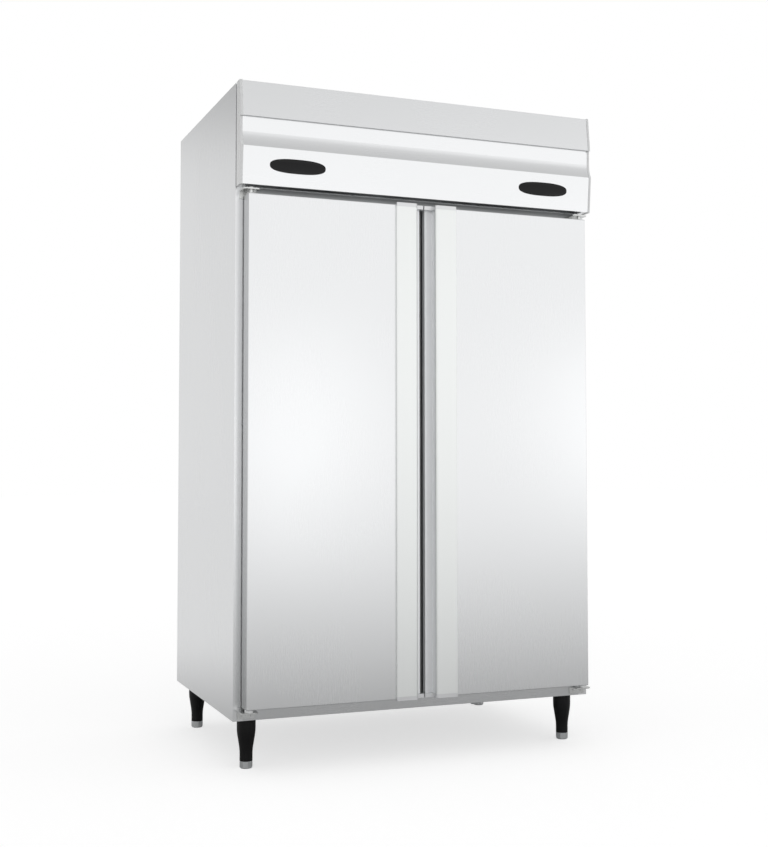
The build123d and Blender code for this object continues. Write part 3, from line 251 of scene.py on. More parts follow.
def brushed_stainless(name, base, roughness, grain_axis, folds=None):
    """Cold-rolled stainless sheet with a fine belt-brushed finish.

    To the eye: soft, slightly streaked reflections that run across the grain, a faint large-scale
    unevenness where the sheet has been wiped, and a bright line along each fold. A door's folds are two
    distances from the middle of the cabinet: nearer than the first, in the finger channel, the sheet is satin
    and its colour is paler as painted light, and further out than the second, on the side fold, its colour is
    darker as painted shade.
    """
    steel = settings("fridge_steel")
    made, tree, shader, place = blank_material(name, base, roughness, 1.0)
    # A real streak is about 0.1 mm wide; these are drawn coarser, so that they show at this size.
    across, along = 1 / steel.grain_width, 1 / steel.grain_length
    scale = [along if axis == grain_axis else across for axis in "XYZ"]
    grain_place = add(tree, "ShaderNodeMapping", {"Vector": place, "Scale": scale})
    grain = add(tree, "ShaderNodeTexNoise", {"Vector": grain_place.outputs[0], "Scale": 1.0, "Detail": 3.0})
    wiped = add(tree, "ShaderNodeTexNoise", {"Vector": place, "Scale": per_metre(420), "Detail": 2.0})
    grain_rough = add(tree, "ShaderNodeMapRange", {
        "Value": grain.outputs[0], **NOISE_SPAN, "To Min": roughness - 0.005, "To Max": roughness + 0.005})
    wiped_rough = add(tree, "ShaderNodeMapRange", {
        "Value": wiped.outputs[0], "From Min": 0.35, "From Max": 0.65, "To Min": -0.008, "To Max": 0.008})
    rough = add(tree, "ShaderNodeMath", {0: grain_rough.outputs[0], 1: wiped_rough.outputs[0]},
                operation="ADD")
    tone = add(tree, "ShaderNodeMapRange", {
        "Value": grain.outputs[0], **NOISE_SPAN, "To Min": 0.994, "To Max": 1.0})
    if folds:
        # Painted light makes the finger channel paler and painted shade makes the side fold darker; the
        # channel is also satin and less metallic.
        channel_satin, channel_metallic = 0.16, 0.6
        spot = add(tree, "ShaderNodeSeparateXYZ", {0: place})
        out = add(tree, "ShaderNodeMath", {0: spot.outputs[0]}, operation="ABSOLUTE")
        channel = add(tree, "ShaderNodeMath", {0: out.outputs[0], 1: folds[0]}, operation="LESS_THAN")
        side = add(tree, "ShaderNodeMath", {0: out.outputs[0], 1: folds[1]}, operation="GREATER_THAN")
        for fold, level in ((channel, steel.channel_painted_light), (side, steel.fold_painted_shade)):
            painted_factor = add(tree, "ShaderNodeMapRange", {"Value": fold.outputs[0], "To Min": 1.0, "To Max": level})
            tone = add(tree, "ShaderNodeMath", {0: tone.outputs[0], 1: painted_factor.outputs[0]},
                       operation="MULTIPLY")
        rough = add(tree, "ShaderNodeMath", {0: channel.outputs[0], 1: channel_satin, 2: rough.outputs[0]},
                    operation="MULTIPLY_ADD")
        bare = add(tree, "ShaderNodeMapRange", {
            "Value": channel.outputs[0], "To Min": 1.0, "To Max": channel_metallic})
        tree.links.new(bare.outputs[0], shader.inputs["Metallic"])
    return surface(made, tree, shader, tone, rough, steel.edge_round, (grain.outputs[0], 0.008, 0.0001))


def galvanised_sheet(name):
    """Hot-dip galvanised sheet, unpainted.

    To the eye: a dull grey metal broken into spangles of about 9 mm, each a little lighter or darker.
    """
    made, tree, shader, place = blank_material(name, settings("fridge_steel").galvanised, 0.48, 1.0)
    warp = add(tree, "ShaderNodeTexNoise", {"Vector": place, "Scale": per_metre(14), "Detail": 2.0})
    bent = add(tree, "ShaderNodeMix", {0: 0.006, 6: place, 7: warp.outputs[1]}, data_type="RGBA")
    spangle = add(tree, "ShaderNodeTexVoronoi", {"Vector": bent.outputs[2], "Scale": per_metre(9)})
    each = add(tree, "ShaderNodeSeparateColor", {0: spangle.outputs["Color"]})
    tone = add(tree, "ShaderNodeMapRange", {"Value": each.outputs[0], "To Min": 0.82, "To Max": 1.0})
    rough = add(tree, "ShaderNodeMapRange", {"Value": each.outputs[1], "To Min": 0.40, "To Max": 0.56})
    return surface(made, tree, shader, tone, rough, 0.0006)


def zinc_plate(name):
    """Steel pressings with bright zinc plating.

    To the eye: cool, fairly sharp reflections with a slight cloudy mottle.
    """
    made, tree, shader, place = blank_material(name, settings("fridge_steel").zinc, 0.26, 1.0)
    mottle = add(tree, "ShaderNodeTexNoise", {"Vector": place, "Scale": per_metre(2.5), "Detail": 4.0})
    tone = add(tree, "ShaderNodeMapRange", {
        "Value": mottle.outputs[0], **NOISE_SPAN, "To Min": 0.95, "To Max": 1.0})
    rough = add(tree, "ShaderNodeMapRange", {"Value": mottle.outputs[0], "To Min": 0.22, "To Max": 0.32})
    return surface(made, tree, shader, tone, rough, 0.0006)


def anodised_aluminium(name):
    """Extruded aluminium, etched and anodised in its natural colour.

    To the eye: paler and softer than the steel beside it, with faint drawing lines along its length.
    """
    made, tree, shader, place = blank_material(name, settings("fridge_steel").anodised, 0.42, 1.0)
    line_place = add(tree, "ShaderNodeMapping", {
        "Vector": place, "Scale": (per_metre(1.2), per_metre(1.2), per_metre(600))})
    lines = add(tree, "ShaderNodeTexNoise", {"Vector": line_place.outputs[0], "Scale": 1.0, "Detail": 2.0})
    tone = add(tree, "ShaderNodeMapRange", {
        "Value": lines.outputs[0], **NOISE_SPAN, "To Min": 0.985, "To Max": 1.0})
    rough = add(tree, "ShaderNodeMapRange", {
        "Value": lines.outputs[0], **NOISE_SPAN, "To Min": 0.40, "To Max": 0.45})
    return surface(made, tree, shader, tone, rough, 0.0006)


def moulded_plastic(name, base, roughness, spark_mm, depth_mm, specular=0.5, edge_mm=0.5, metallic=0.0):
    """Injection-moulded or extruded plastic with a spark-eroded texture in its tool.

    To the eye: a broad soft highlight broken by an even fine grain, with rounded edges.
    """
    made, tree, shader, place = blank_material(name, base, roughness, metallic)
    shader.inputs["Specular IOR Level"].default_value = specular
    spark = add(tree, "ShaderNodeTexNoise", {"Vector": place, "Scale": per_metre(spark_mm), "Detail": 2.0})
    flow = add(tree, "ShaderNodeTexNoise", {"Vector": place, "Scale": per_metre(70), "Detail": 1.0})
    tone = add(tree, "ShaderNodeMapRange", {
        "Value": flow.outputs[0], **NOISE_SPAN, "To Min": 0.98, "To Max": 1.01})
    rough = add(tree, "ShaderNodeMapRange", {
        "Value": flow.outputs[0], **NOISE_SPAN, "To Min": roughness - 0.02, "To Max": roughness + 0.03})
    return surface(made, tree, shader, tone, rough, edge_mm / 1000,
                   (spark.outputs[0], 0.25, depth_mm / 1000))


def smoked_acrylic(name):
    """Dark tinted acrylic, polished.

    To the eye: near black with one clear, slightly wavy reflection and a few wiping marks.
    """
    made, tree, shader, place = blank_material(name, settings("fridge_mouldings").window, 0.10)
    shader.inputs["IOR"].default_value = 1.49
    shader.inputs["Specular IOR Level"].default_value = 0.24
    wipe_place = add(tree, "ShaderNodeMapping", {"Vector": place, "Scale": (14, 60, 160)})
    wipe = add(tree, "ShaderNodeTexNoise", {"Vector": wipe_place.outputs[0], "Scale": 1.0, "Detail": 4.0})
    rough = add(tree, "ShaderNodeMapRange", {
        "Value": wipe.outputs[0], "From Min": 0.35, "From Max": 0.75, "To Min": 0.08, "To Max": 0.20})
    return surface(made, tree, shader, rough=rough, edge=0.0006)


def vinyl_gasket(name):
    """Soft extruded vinyl over a magnet strip.

    To the eye: matt mid grey with fine drawn lines and a dusty bloom in patches.
    """
    made, tree, shader, place = blank_material(name, settings("fridge_mouldings").gasket, 0.62)
    shader.inputs["Sheen Weight"].default_value = 0.08
    bloom = add(tree, "ShaderNodeTexNoise", {"Vector": place, "Scale": per_metre(25), "Detail": 3.0})
    line_place = add(tree, "ShaderNodeMapping", {"Vector": place, "Scale": (3, per_metre(0.9), 3)})
    lines = add(tree, "ShaderNodeTexNoise", {"Vector": line_place.outputs[0], "Scale": 1.0, "Detail": 1.0})
    tone = add(tree, "ShaderNodeMapRange", {
        "Value": bloom.outputs[0], **NOISE_SPAN, "To Min": 0.88, "To Max": 1.12})
    return surface(made, tree, shader, tone, relief=(lines.outputs[0], 0.5, 0.0003))


def rigid_foam(name):
    """Polyurethane foam, blown in place.

    To the eye: buff yellow, matt, pitted with cells of about 1.5 mm.
    """
    made, tree, shader, place = blank_material(name, settings("fridge_mouldings").foam, 0.85)
    cells = add(tree, "ShaderNodeTexVoronoi", {"Vector": place, "Scale": per_metre(1.5)})
    cell = cells.outputs["Distance"]
    tone = add(tree, "ShaderNodeMapRange", {"Value": cell, "To Min": 1.0, "To Max": 0.8})
    return surface(made, tree, shader, tone, relief=(cell, 0.6, 0.0008))


def dipped_coating(name):
    """Steel wire dipped in polyethylene powder.

    To the eye: pale, satin and slightly lumpy, a little glossier in places.
    """
    made, tree, shader, place = blank_material(name, settings("fridge_mouldings").wire, 0.34)
    lumps = add(tree, "ShaderNodeTexNoise", {"Vector": place, "Scale": per_metre(9), "Detail": 2.0})
    rough = add(tree, "ShaderNodeMapRange", {"Value": lumps.outputs[0], "To Min": 0.24, "To Max": 0.44})
    return surface(made, tree, shader, None, rough, 0.0012, (lumps.outputs[0], 0.35, 0.0006))


def finned_aluminium(name, pitch_mm):
    """Stacked aluminium fins on copper tubes. Real ones stand about 2 mm apart.

    To the eye: fine bright lines with dark gaps of painted shade between them, a few fins slightly bent.
    """
    made, tree, shader, place = blank_material(name, settings("fridge_mouldings").fin, 0.38, 1.0)
    fins = add(tree, "ShaderNodeTexWave", {
        "Vector": place, "Scale": BAND_PITCH * per_metre(pitch_mm), "Distortion": 0.6, "Detail": 1.0,
        "Detail Scale": 0.02}, wave_type="BANDS", bands_direction="X")
    # The dark between the bands is painted shade of the gaps between the fins.
    tone = add(tree, "ShaderNodeMapRange", {
        "Value": fins.outputs[1], "From Min": 0.15, "From Max": 0.6, "To Min": 0.30, "To Max": 1.0})
    return surface(made, tree, shader, tone, relief=(fins.outputs[1], 0.7, 0.001))


def die_cast(name):
    """Die-cast aluminium, tumbled.

    To the eye: dull silver with a sandy skin.
    """
    made, tree, shader, place = blank_material(name, settings("fridge_mouldings").casting, 0.5, 1.0)
    sand = add(tree, "ShaderNodeTexNoise", {"Vector": place, "Scale": per_metre(1.6), "Detail": 3.0})
    tone = add(tree, "ShaderNodeMapRange", {"Value": sand.outputs[0], "To Min": 0.82, "To Max": 1.08})
    return surface(made, tree, shader, tone, None, 0.001, (sand.outputs[0], 0.4, 0.0004))


def stoved_enamel(name):
    """Black stoved enamel on drawn steel.

    To the eye: deep black under a clear gloss with a light orange peel.
    """
    made, tree, shader, place = blank_material(name, settings("fridge_mouldings").enamel, 0.45)
    shader.inputs["Coat Weight"].default_value = 0.6
    shader.inputs["Coat Roughness"].default_value = 0.16
    peel = add(tree, "ShaderNodeTexNoise", {"Vector": place, "Scale": per_metre(4), "Detail": 1.0})
    rough = add(tree, "ShaderNodeMapRange", {"Value": peel.outputs[0], "To Min": 0.38, "To Max": 0.54})
    return surface(made, tree, shader, None, rough, 0.001, (peel.outputs[0], 0.2, 0.0005))


def drawn_copper(name):
    """Drawn copper tube, handled and lightly tarnished.

    To the eye: warm metal with brown clouds and brighter, cleaner stretches.
    """
    tone = settings("fridge_mouldings")
    made, tree, shader, place = blank_material(name, tone.copper, 0.3, 1.0)
    cloud = add(tree, "ShaderNodeTexNoise", {"Vector": place, "Scale": per_metre(38), "Detail": 4.0})
    cover = add(tree, "ShaderNodeMapRange", {"Value": cloud.outputs[0], "From Min": 0.45, "From Max": 0.7})
    shade = add(tree, "ShaderNodeMix", {
        0: cover.outputs[0], 6: (*tone.copper, 1), 7: (*tone.tarnish, 1)}, data_type="RGBA")
    tree.links.new(shade.outputs[2], shader.inputs["Base Color"])
    rough = add(tree, "ShaderNodeMapRange", {
        "Value": cloud.outputs[0], **NOISE_SPAN, "To Min": 0.22, "To Max": 0.42})
    return surface(made, tree, shader, rough=rough)


def turned_steel(name, thread_from):
    """Turned and nickel-plated steel, with the rolled thread of an M12 stud, of 1.75 mm pitch, above it.

    To the eye: fine rings round the axis, and on the stud the bright and dark bands of a thread.
    """
    ring_depth, thread_depth = 0.00004, 0.0009
    made, tree, shader, place = blank_material(name, settings("fridge_mouldings").foot, 0.32, 1.0)
    ring_place = add(tree, "ShaderNodeMapping", {"Vector": place, "Scale": (0.5, 0.5, per_metre(0.8))})
    rings = add(tree, "ShaderNodeTexNoise", {"Vector": ring_place.outputs[0], "Scale": 1.0, "Detail": 1.0})
    thread = add(tree, "ShaderNodeTexWave", {"Vector": place, "Scale": BAND_PITCH * per_metre(1.75)},
                 wave_type="BANDS", bands_direction="Z")
    spot = add(tree, "ShaderNodeSeparateXYZ", {0: place})
    stud = add(tree, "ShaderNodeMath", {0: spot.outputs[2], 1: thread_from}, operation="GREATER_THAN")
    height = add(tree, "ShaderNodeMix", {0: stud.outputs[0], 2: rings.outputs[0], 3: thread.outputs[1]},
                 data_type="FLOAT")
    depth = add(tree, "ShaderNodeMapRange", {
        "Value": stud.outputs[0], "To Min": ring_depth, "To Max": thread_depth})
    rough = add(tree, "ShaderNodeMapRange", {"Value": rings.outputs[0], "To Min": 0.22, "To Max": 0.42})
    return surface(made, tree, shader, None, rough, 0.0006, (height.outputs[0], 0.8, depth.outputs[0]))


def dress(material, *nodes):
    """Give CAD nodes a material."""
    for name in nodes:
        obj = frame["nodes"][name]
        for slot in obj.material_slots:
            slot.material = material
        if not obj.material_slots:
            obj.data.materials.append(material)


def sides(*stems):
    """The left and right nodes of each stem."""
    return [f"{stem}_{side}" for stem in stems for side in ("left", "right")]


# Modelling helpers

def only(obj):
    """Select one object and make it active."""
    bpy.ops.object.select_all(action="DESELECT")
    obj.select_set(True)
    bpy.context.view_layer.objects.active = obj


def mark_faces(obj, test):
    """Enter edit mode on an object with the faces selected that pass a test of centre and normal."""
    only(obj)
    bpy.ops.object.mode_set(mode="EDIT")
    bpy.ops.mesh.select_mode(type="FACE")
    bpy.ops.mesh.select_all(action="DESELECT")
    bpy.ops.object.mode_set(mode="OBJECT")
    found = 0
    for face in obj.data.polygons:
        face.select = test(face.center, face.normal)
        found += face.select
    if not found:
        raise RuntimeError(f"no face of {obj.name} passes the test")
    bpy.ops.object.mode_set(mode="EDIT")


def leave_edit():
    """Go back to object mode."""
    bpy.ops.object.mode_set(mode="OBJECT")


def cut_away(obj, cutter):
    """Cut one object with another, and remove the cutter."""
    only(obj)
    cut = obj.modifiers.new("Cut", "BOOLEAN")
    cut.operation = "DIFFERENCE"
    cut.solver = "EXACT"
    cut.object = cutter
    bpy.ops.object.modifier_apply(modifier=cut.name)
    bpy.data.objects.remove(cutter)


def set_out(pattern, places, name, finish):
    """Copy a pattern to each place, join the copies, finish them and let them ride on the cabinet."""
    smooth_below = math.radians(35)
    copies = []
    for place in places:
        copy = pattern.copy()
        copy.data = pattern.data.copy()
        bpy.context.scene.collection.objects.link(copy)
        copy.matrix_world = place
        copies.append(copy)
    bpy.ops.object.select_all(action="DESELECT")
    for copy in copies:
        copy.select_set(True)
    bpy.context.view_layer.objects.active = copies[0]
    bpy.ops.object.join()
    piece = bpy.context.view_layer.objects.active
    bpy.ops.object.transform_apply(location=True, rotation=True, scale=True)
    bpy.ops.object.shade_smooth_by_angle(angle=smooth_below)
    bpy.data.objects.remove(pattern)
    piece.name = name
    piece.data.name = name
    piece.data.materials.clear()
    piece.data.materials.append(bpy.data.materials[finish])
    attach(piece, "cabinet")
    return piece


def facing(point, direction, turn=0.0):
    """Matrix that puts a pattern drawn up +Z at a point, standing out along a direction."""
    turned = Vector(direction).to_track_quat("Z", "Y").to_matrix().to_4x4()
    return Matrix.Translation(Vector(point)) @ turned @ Matrix.Rotation(turn, 4, "Z")


def pan_head_screw(radius, height):
    """A low pan-head screw with a cross recess, drawn up +Z from the surface."""
    rounding, recess = height * 0.55, (radius * 1.1, radius * 0.26, height * 0.9)
    bpy.ops.object.select_all(action="DESELECT")
    bpy.ops.mesh.primitive_cylinder_add(vertices=24, radius=radius, depth=height,
                                        location=(0, 0, height / 2))
    head = bpy.context.active_object
    mark_faces(head, lambda centre, normal: normal.z > 0.9)
    bpy.ops.mesh.bevel(offset=rounding, segments=3, affect="EDGES")
    leave_edit()
    for turn in (0.0, math.pi / 2):
        bpy.ops.object.select_all(action="DESELECT")
        bpy.ops.mesh.primitive_cube_add(size=1, location=(0, 0, height), rotation=(0, 0, turn))
        slot = bpy.context.active_object
        slot.scale = recess
        bpy.ops.object.transform_apply(location=False, rotation=False, scale=True)
        cut_away(head, slot)
    return head


def hexagon_nut(across, height):
    """A hexagon nut with a bevelled top and the stud's end in it, drawn up +Z."""
    corner, stud = across / math.sqrt(3), across * 0.3
    bevel, stud_rise = height * 0.12, height * 0.35
    bpy.ops.object.select_all(action="DESELECT")
    bpy.ops.mesh.primitive_cylinder_add(vertices=6, radius=corner, depth=height, location=(0, 0, height / 2))
    nut = bpy.context.active_object
    mark_faces(nut, lambda centre, normal: normal.z > 0.9)
    bpy.ops.mesh.bevel(offset=bevel, segments=2, affect="EDGES")
    leave_edit()
    mark_faces(nut, lambda centre, normal: normal.z > 0.99)
    bpy.ops.mesh.inset(thickness=corner - stud, depth=0)
    bpy.ops.mesh.extrude_region_move(TRANSFORM_OT_translate={"value": (0, 0, stud_rise)})
    leave_edit()
    return nut


def return_bend(pitch, tube):
    """A half-circle of tube between two neighbouring coil tubes, drawn out along +Z."""
    bpy.ops.object.select_all(action="DESELECT")
    bpy.ops.mesh.primitive_circle_add(vertices=12, radius=tube, location=(pitch / 2, 0, 0))
    bend = bpy.context.active_object
    bpy.ops.object.mode_set(mode="EDIT")
    bpy.ops.mesh.select_all(action="SELECT")
    bpy.ops.mesh.spin(steps=12, angle=-math.pi, center=(0, 0, 0), axis=(0, 1, 0))
    bpy.ops.mesh.select_all(action="SELECT")
    bpy.ops.mesh.fill_holes(sides=0)
    bpy.ops.mesh.select_all(action="SELECT")
    bpy.ops.mesh.normals_make_consistent(inside=False)
    leave_edit()
    return bend


def oval_window(length, height, rim, squareness):
    """An oval window with a rounded rim, and the body that passes through the sheet, drawn up +Z."""
    rounding, shoulder, body_depth = rim * 0.6, rim * 3, rim * 4
    bpy.ops.object.select_all(action="DESELECT")
    bpy.ops.mesh.primitive_plane_add(size=2)
    window = bpy.context.active_object
    bpy.ops.object.mode_set(mode="EDIT")
    bpy.ops.mesh.select_mode(type="VERT")
    bpy.ops.mesh.select_all(action="SELECT")
    bpy.ops.mesh.bevel(offset=1, segments=32, profile=squareness, affect="VERTICES")
    bpy.ops.mesh.select_all(action="SELECT")
    bpy.ops.mesh.remove_doubles(threshold=0.0001)
    bpy.ops.transform.resize(value=(length / 2, height / 2, 1))
    bpy.ops.mesh.extrude_region_move(TRANSFORM_OT_translate={"value": (0, 0, rim)})
    leave_edit()
    mark_faces(window, lambda centre, normal: normal.z > 0.9 and centre.z > rim / 2)
    bpy.ops.mesh.bevel(offset=rounding, segments=4, affect="EDGES")
    leave_edit()
    mark_faces(window, lambda centre, normal: abs(normal.z) > 0.9 and centre.z < rim / 4)
    bpy.ops.mesh.inset(thickness=shoulder, depth=0)
    bpy.ops.mesh.extrude_region_move(TRANSFORM_OT_translate={"value": (0, 0, -body_depth)})
    bpy.ops.mesh.select_all(action="SELECT")
    bpy.ops.mesh.normals_make_consistent(inside=False)
    leave_edit()
    return window


# Operators

class FRIDGE_OT_outer_steel(Operator):
    """Brush the doors, sides, header, handle strips, rail and frame"""

    bl_idname = "fridge.outer_steel"
    bl_label = "Outer steel"

    def execute(self, context):
        steel = settings("fridge_steel")
        outer, rough = steel.outer, steel.outer_roughness
        channel_reach, side_sheet = 0.0055, 0.0008
        folds = (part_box("handle_strip_right")[0].x + channel_reach,
                 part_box("door_skin_right")[1].x - side_sheet)
        dress(brushed_stainless("stainless_304_brushed_upright", outer, rough, "Z"), *sides("side_panel"))
        dress(brushed_stainless("stainless_304_door_skin", outer, rough, "Z", folds), *sides("door_skin"))
        dress(brushed_stainless("stainless_304_brushed_level", steel.header, rough, "X"), "header_panel")
        dress(brushed_stainless("stainless_304_brushed_rail", steel.rail, rough, "X"), "bottom_rail")
        # The frame's dark colour is painted shade of the gaps where it shows.
        dress(brushed_stainless("stainless_430_frame", steel.frame, steel.inner_roughness, "Z"),
              "face_frame")
        dress(anodised_aluminium("aluminium_anodised_satin"), *sides("handle_strip"))
        return {"FINISHED"}


class FRIDGE_OT_inner_steel(Operator):
    """Finish the liners, cooler covers, shelf standards and clips"""

    bl_idname = "fridge.inner_steel"
    bl_label = "Inner steel"

    def execute(self, context):
        steel = settings("fridge_steel")
        dress(brushed_stainless("stainless_304_satin_inner", steel.inner, steel.inner_roughness, "Y"),
              *sides("liner", "evaporator_cover"), "shelf_standards", "shelf_clips")
        return {"FINISHED"}


class FRIDGE_OT_galvanised(Operator):
    """Finish the sheets of the back, base and machine bay"""

    bl_idname = "fridge.galvanised"
    bl_label = "Galvanised sheet"

    def execute(self, context):
        dress(galvanised_sheet("galvanised_steel_spangled"), "rear_panel", "rear_grille", "base_pan",
              "machine_deck", "fan_shrouds", "control_box", "leg_plates")
        return {"FINISHED"}


class FRIDGE_OT_mouldings(Operator):
    """Finish the plastic, vinyl, acrylic and foam pieces"""

    bl_idname = "fridge.mouldings"
    bl_label = "Mouldings"

    def execute(self, context):
        tone = settings("fridge_mouldings")
        dress(moulded_plastic("abs_pale_grey", tone.cap, 0.24, 1.2, 0.02, edge_mm=0.8), "header_end_caps")
        dress(moulded_plastic("abs_silver_lacquered", tone.handle_cap, 0.40, 1.2, 0.02, metallic=0.85),
              *sides("handle_caps"))
        dress(smoked_acrylic("acrylic_smoked"), *sides("display_window"))
        dress(moulded_plastic("nylon_black_moulded", tone.leg, 0.42, 1.5, 0.10, 0.22), "legs")
        dress(moulded_plastic("polystyrene_white_formed", tone.liner, 0.32, 5.0, 0.10),
              *sides("door_liner", "breaker_strip"))
        dress(vinyl_gasket("vinyl_gasket_grey"), *sides("door_gasket"))
        dress(moulded_plastic("vinyl_pipe_grey", tone.drain, 0.4, 3.0, 0.05), "drain_pipes")
        dress(moulded_plastic("acetal_bush_white", tone.liner, 0.35, 1.5, 0.05), *sides("door_bushes"))
        dress(moulded_plastic("nylon_glass_filled", tone.blade, 0.5, 1.0, 0.12),
              *sides("evaporator_fan", "condenser_fan"))
        dress(moulded_plastic("abs_black_housing", tone.blade, 0.45, 1.2, 0.08), "controllers",
              "power_inlet")
        dress(rigid_foam("polyurethane_foam"), "insulation_body", *sides("door_foam"))
        return {"FINISHED"}


class FRIDGE_OT_display_windows(Operator):
    """Mould the oval windows of the header"""

    bl_idname = "fridge.display_windows"
    bl_label = "Display windows"

    def execute(self, context):
        size = settings("fridge_hardware")
        for node in sides("display_window"):
            low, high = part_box(node)
            centre = (low + high) / 2
            flat = max((face for face in frame["nodes"]["header_panel"].data.polygons
                        if face.normal.y < -0.9 and low.z < face.center.z < high.z),
                       key=lambda face: face.area)
            centre.y = flat.center.y - (centre.z - flat.center.z) * flat.normal.z / flat.normal.y
            window = oval_window(size.window_length, size.window_height, size.window_rim,
                                 size.window_squareness)
            piece = set_out(window, [facing(centre, flat.normal)], node.replace("display", "oval"),
                            "acrylic_smoked")
            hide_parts(node)
        return {"FINISHED"}


class FRIDGE_OT_machinery(Operator):
    """Finish the coils, compressors, motors and pipes"""

    bl_idname = "fridge.machinery"
    bl_label = "Machinery"

    def execute(self, context):
        dress(finned_aluminium("aluminium_fins", 2.5), "condensers", "evaporator_coils")
        dress(die_cast("aluminium_die_cast"), "condenser_fan_motors", "evaporator_fan_motors")
        dress(stoved_enamel("enamel_black_stoved"), "compressors")
        dress(drawn_copper("copper_drawn"), "refrigerant_pipes")
        return {"FINISHED"}


class FRIDGE_OT_hardware(Operator):
    """Finish the hinges, shelves and feet"""

    bl_idname = "fridge.hardware"
    bl_label = "Hinges, shelves and feet"

    def execute(self, context):
        dress(zinc_plate("zinc_plated_steel"), "hinge_brackets", "hinge_pins")
        dress(dipped_coating("polyethylene_dipped_wire"), *sides("shelves"))
        leg_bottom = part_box("legs")[0].z
        dress(turned_steel("steel_turned_plated", leg_bottom), *sides("foot_front", "foot_rear"))
        return {"FINISHED"}


class FRIDGE_OT_bracket_screws(Operator):
    """Screw the hinge brackets to the cabinet"""

    bl_idname = "fridge.bracket_screws"
    bl_label = "Bracket screws"

    def execute(self, context):
        size = settings("fridge_hardware")
        bracket_sheet, screw_rise = 0.003, 1.6
        inner_screw, outer_screw, under_top, over_bottom = 0.548, 0.575, 0.0095, 0.011
        low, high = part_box("hinge_brackets")
        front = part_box("face_frame")[0].y - bracket_sheet
        places = []
        for side in (-1, 1):
            for out in (inner_screw, outer_screw):
                for z in (high.z - under_top, low.z + over_bottom):
                    places.append(facing((side * out, front, z), (0, -1, 0), out + z))
        screw = pan_head_screw(size.screw_radius, size.screw_height * screw_rise)
        set_out(screw, places, "hinge_bracket_screws", "zinc_plated_steel")
        return {"FINISHED"}


class FRIDGE_OT_rear_screws(Operator):
    """Screw down the rear sheets"""

    bl_idname = "fridge.rear_screws"
    bl_label = "Rear screws"

    def execute(self, context):
        size = settings("fridge_hardware")
        end_margin, side_margin, turn_step = 0.02, 0.030, 0.7
        places = []
        for node in ("rear_panel", "rear_grille"):
            low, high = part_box(node)
            bottom, top = low.z + end_margin, high.z - end_margin
            out = high.x - side_margin
            rows = max(1, round((top - bottom) / size.screw_pitch))
            for index in range(rows + 1):
                z = bottom + (top - bottom) * index / rows
                for side in (-1, 1):
                    places.append(facing((side * out, high.y, z), (0, 1, 0), index))
            across = round(2 * out / size.screw_pitch)
            for index in range(1, across):
                x = -out + 2 * out * index / across
                places.append(facing((x, high.y, bottom), (0, 1, 0), index * turn_step))
        screw = pan_head_screw(size.screw_radius, size.screw_height)
        set_out(screw, places, "rear_sheet_screws", "zinc_plated_steel")
        return {"FINISHED"}


class FRIDGE_OT_cover_screws(Operator):
    """Screw down the cooler covers and the control box lid"""

    bl_idname = "fridge.cover_screws"
    bl_label = "Cover screws"

    def execute(self, context):
        size = settings("fridge_hardware")
        margin, cooler_rear_margin, turn_step = 0.012, 0.090, 9
        places = []
        for node in sides("evaporator_cover"):
            low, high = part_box(node)
            for x in (low.x + margin, high.x - margin):
                for y in (low.y + margin, high.y - cooler_rear_margin):
                    places.append(facing((x, y, low.z), (0, 0, -1), x + y))
        low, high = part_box("control_box")
        for x in (low.x + margin, high.x - margin):
            for y in (low.y + margin, high.y - margin):
                places.append(facing((x, y, high.z), (0, 0, 1), x * turn_step))
        screw = pan_head_screw(size.screw_radius, size.screw_height)
        set_out(screw, places, "cover_screws", "zinc_plated_steel")
        return {"FINISHED"}


class FRIDGE_OT_compressor_nuts(Operator):
    """Bolt the compressors down through their grommets"""

    bl_idname = "fridge.compressor_nuts"
    bl_label = "Compressor nuts"

    def execute(self, context):
        size = settings("fridge_hardware")
        unit_out, stud_x, stud_y, foot_rise, turn_step = 0.3, 0.094, 0.069, 0.017, 30
        low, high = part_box("compressors")
        middle, foot_top = (low.y + high.y) / 2, low.z + foot_rise
        places = []
        for side in (-1, 1):
            for x in (-stud_x, stud_x):
                for y in (-stud_y, stud_y):
                    stud = (side * unit_out + x, middle + y, foot_top)
                    places.append(facing(stud, (0, 0, 1), x * turn_step + y))
        nut = hexagon_nut(size.nut_across, size.nut_height)
        set_out(nut, places, "compressor_nuts", "zinc_plated_steel")
        return {"FINISHED"}


class FRIDGE_OT_return_bends(Operator):
    """Join the condensers' tubes at their inner ends"""

    bl_idname = "fridge.return_bends"
    bl_label = "Return bends"

    def execute(self, context):
        size = settings("fridge_hardware")
        inner_end, end_margin = 0.150, 0.030
        low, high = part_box("condensers")
        middle = (low.y + high.y) / 2
        bottom, top = low.z + end_margin, high.z - end_margin
        places = []
        for side in (-1, 1):
            for index in range(size.bend_count):
                z = bottom + (top - bottom) * (index + 0.5) / size.bend_count
                outwards = Matrix.Rotation(-side * math.pi / 2, 4, "Y")
                places.append(Matrix.Translation((side * inner_end, middle, z)) @ outwards)
        bend = return_bend(size.bend_pitch, size.bend_tube)
        set_out(bend, places, "condenser_return_bends", "copper_drawn")
        return {"FINISHED"}


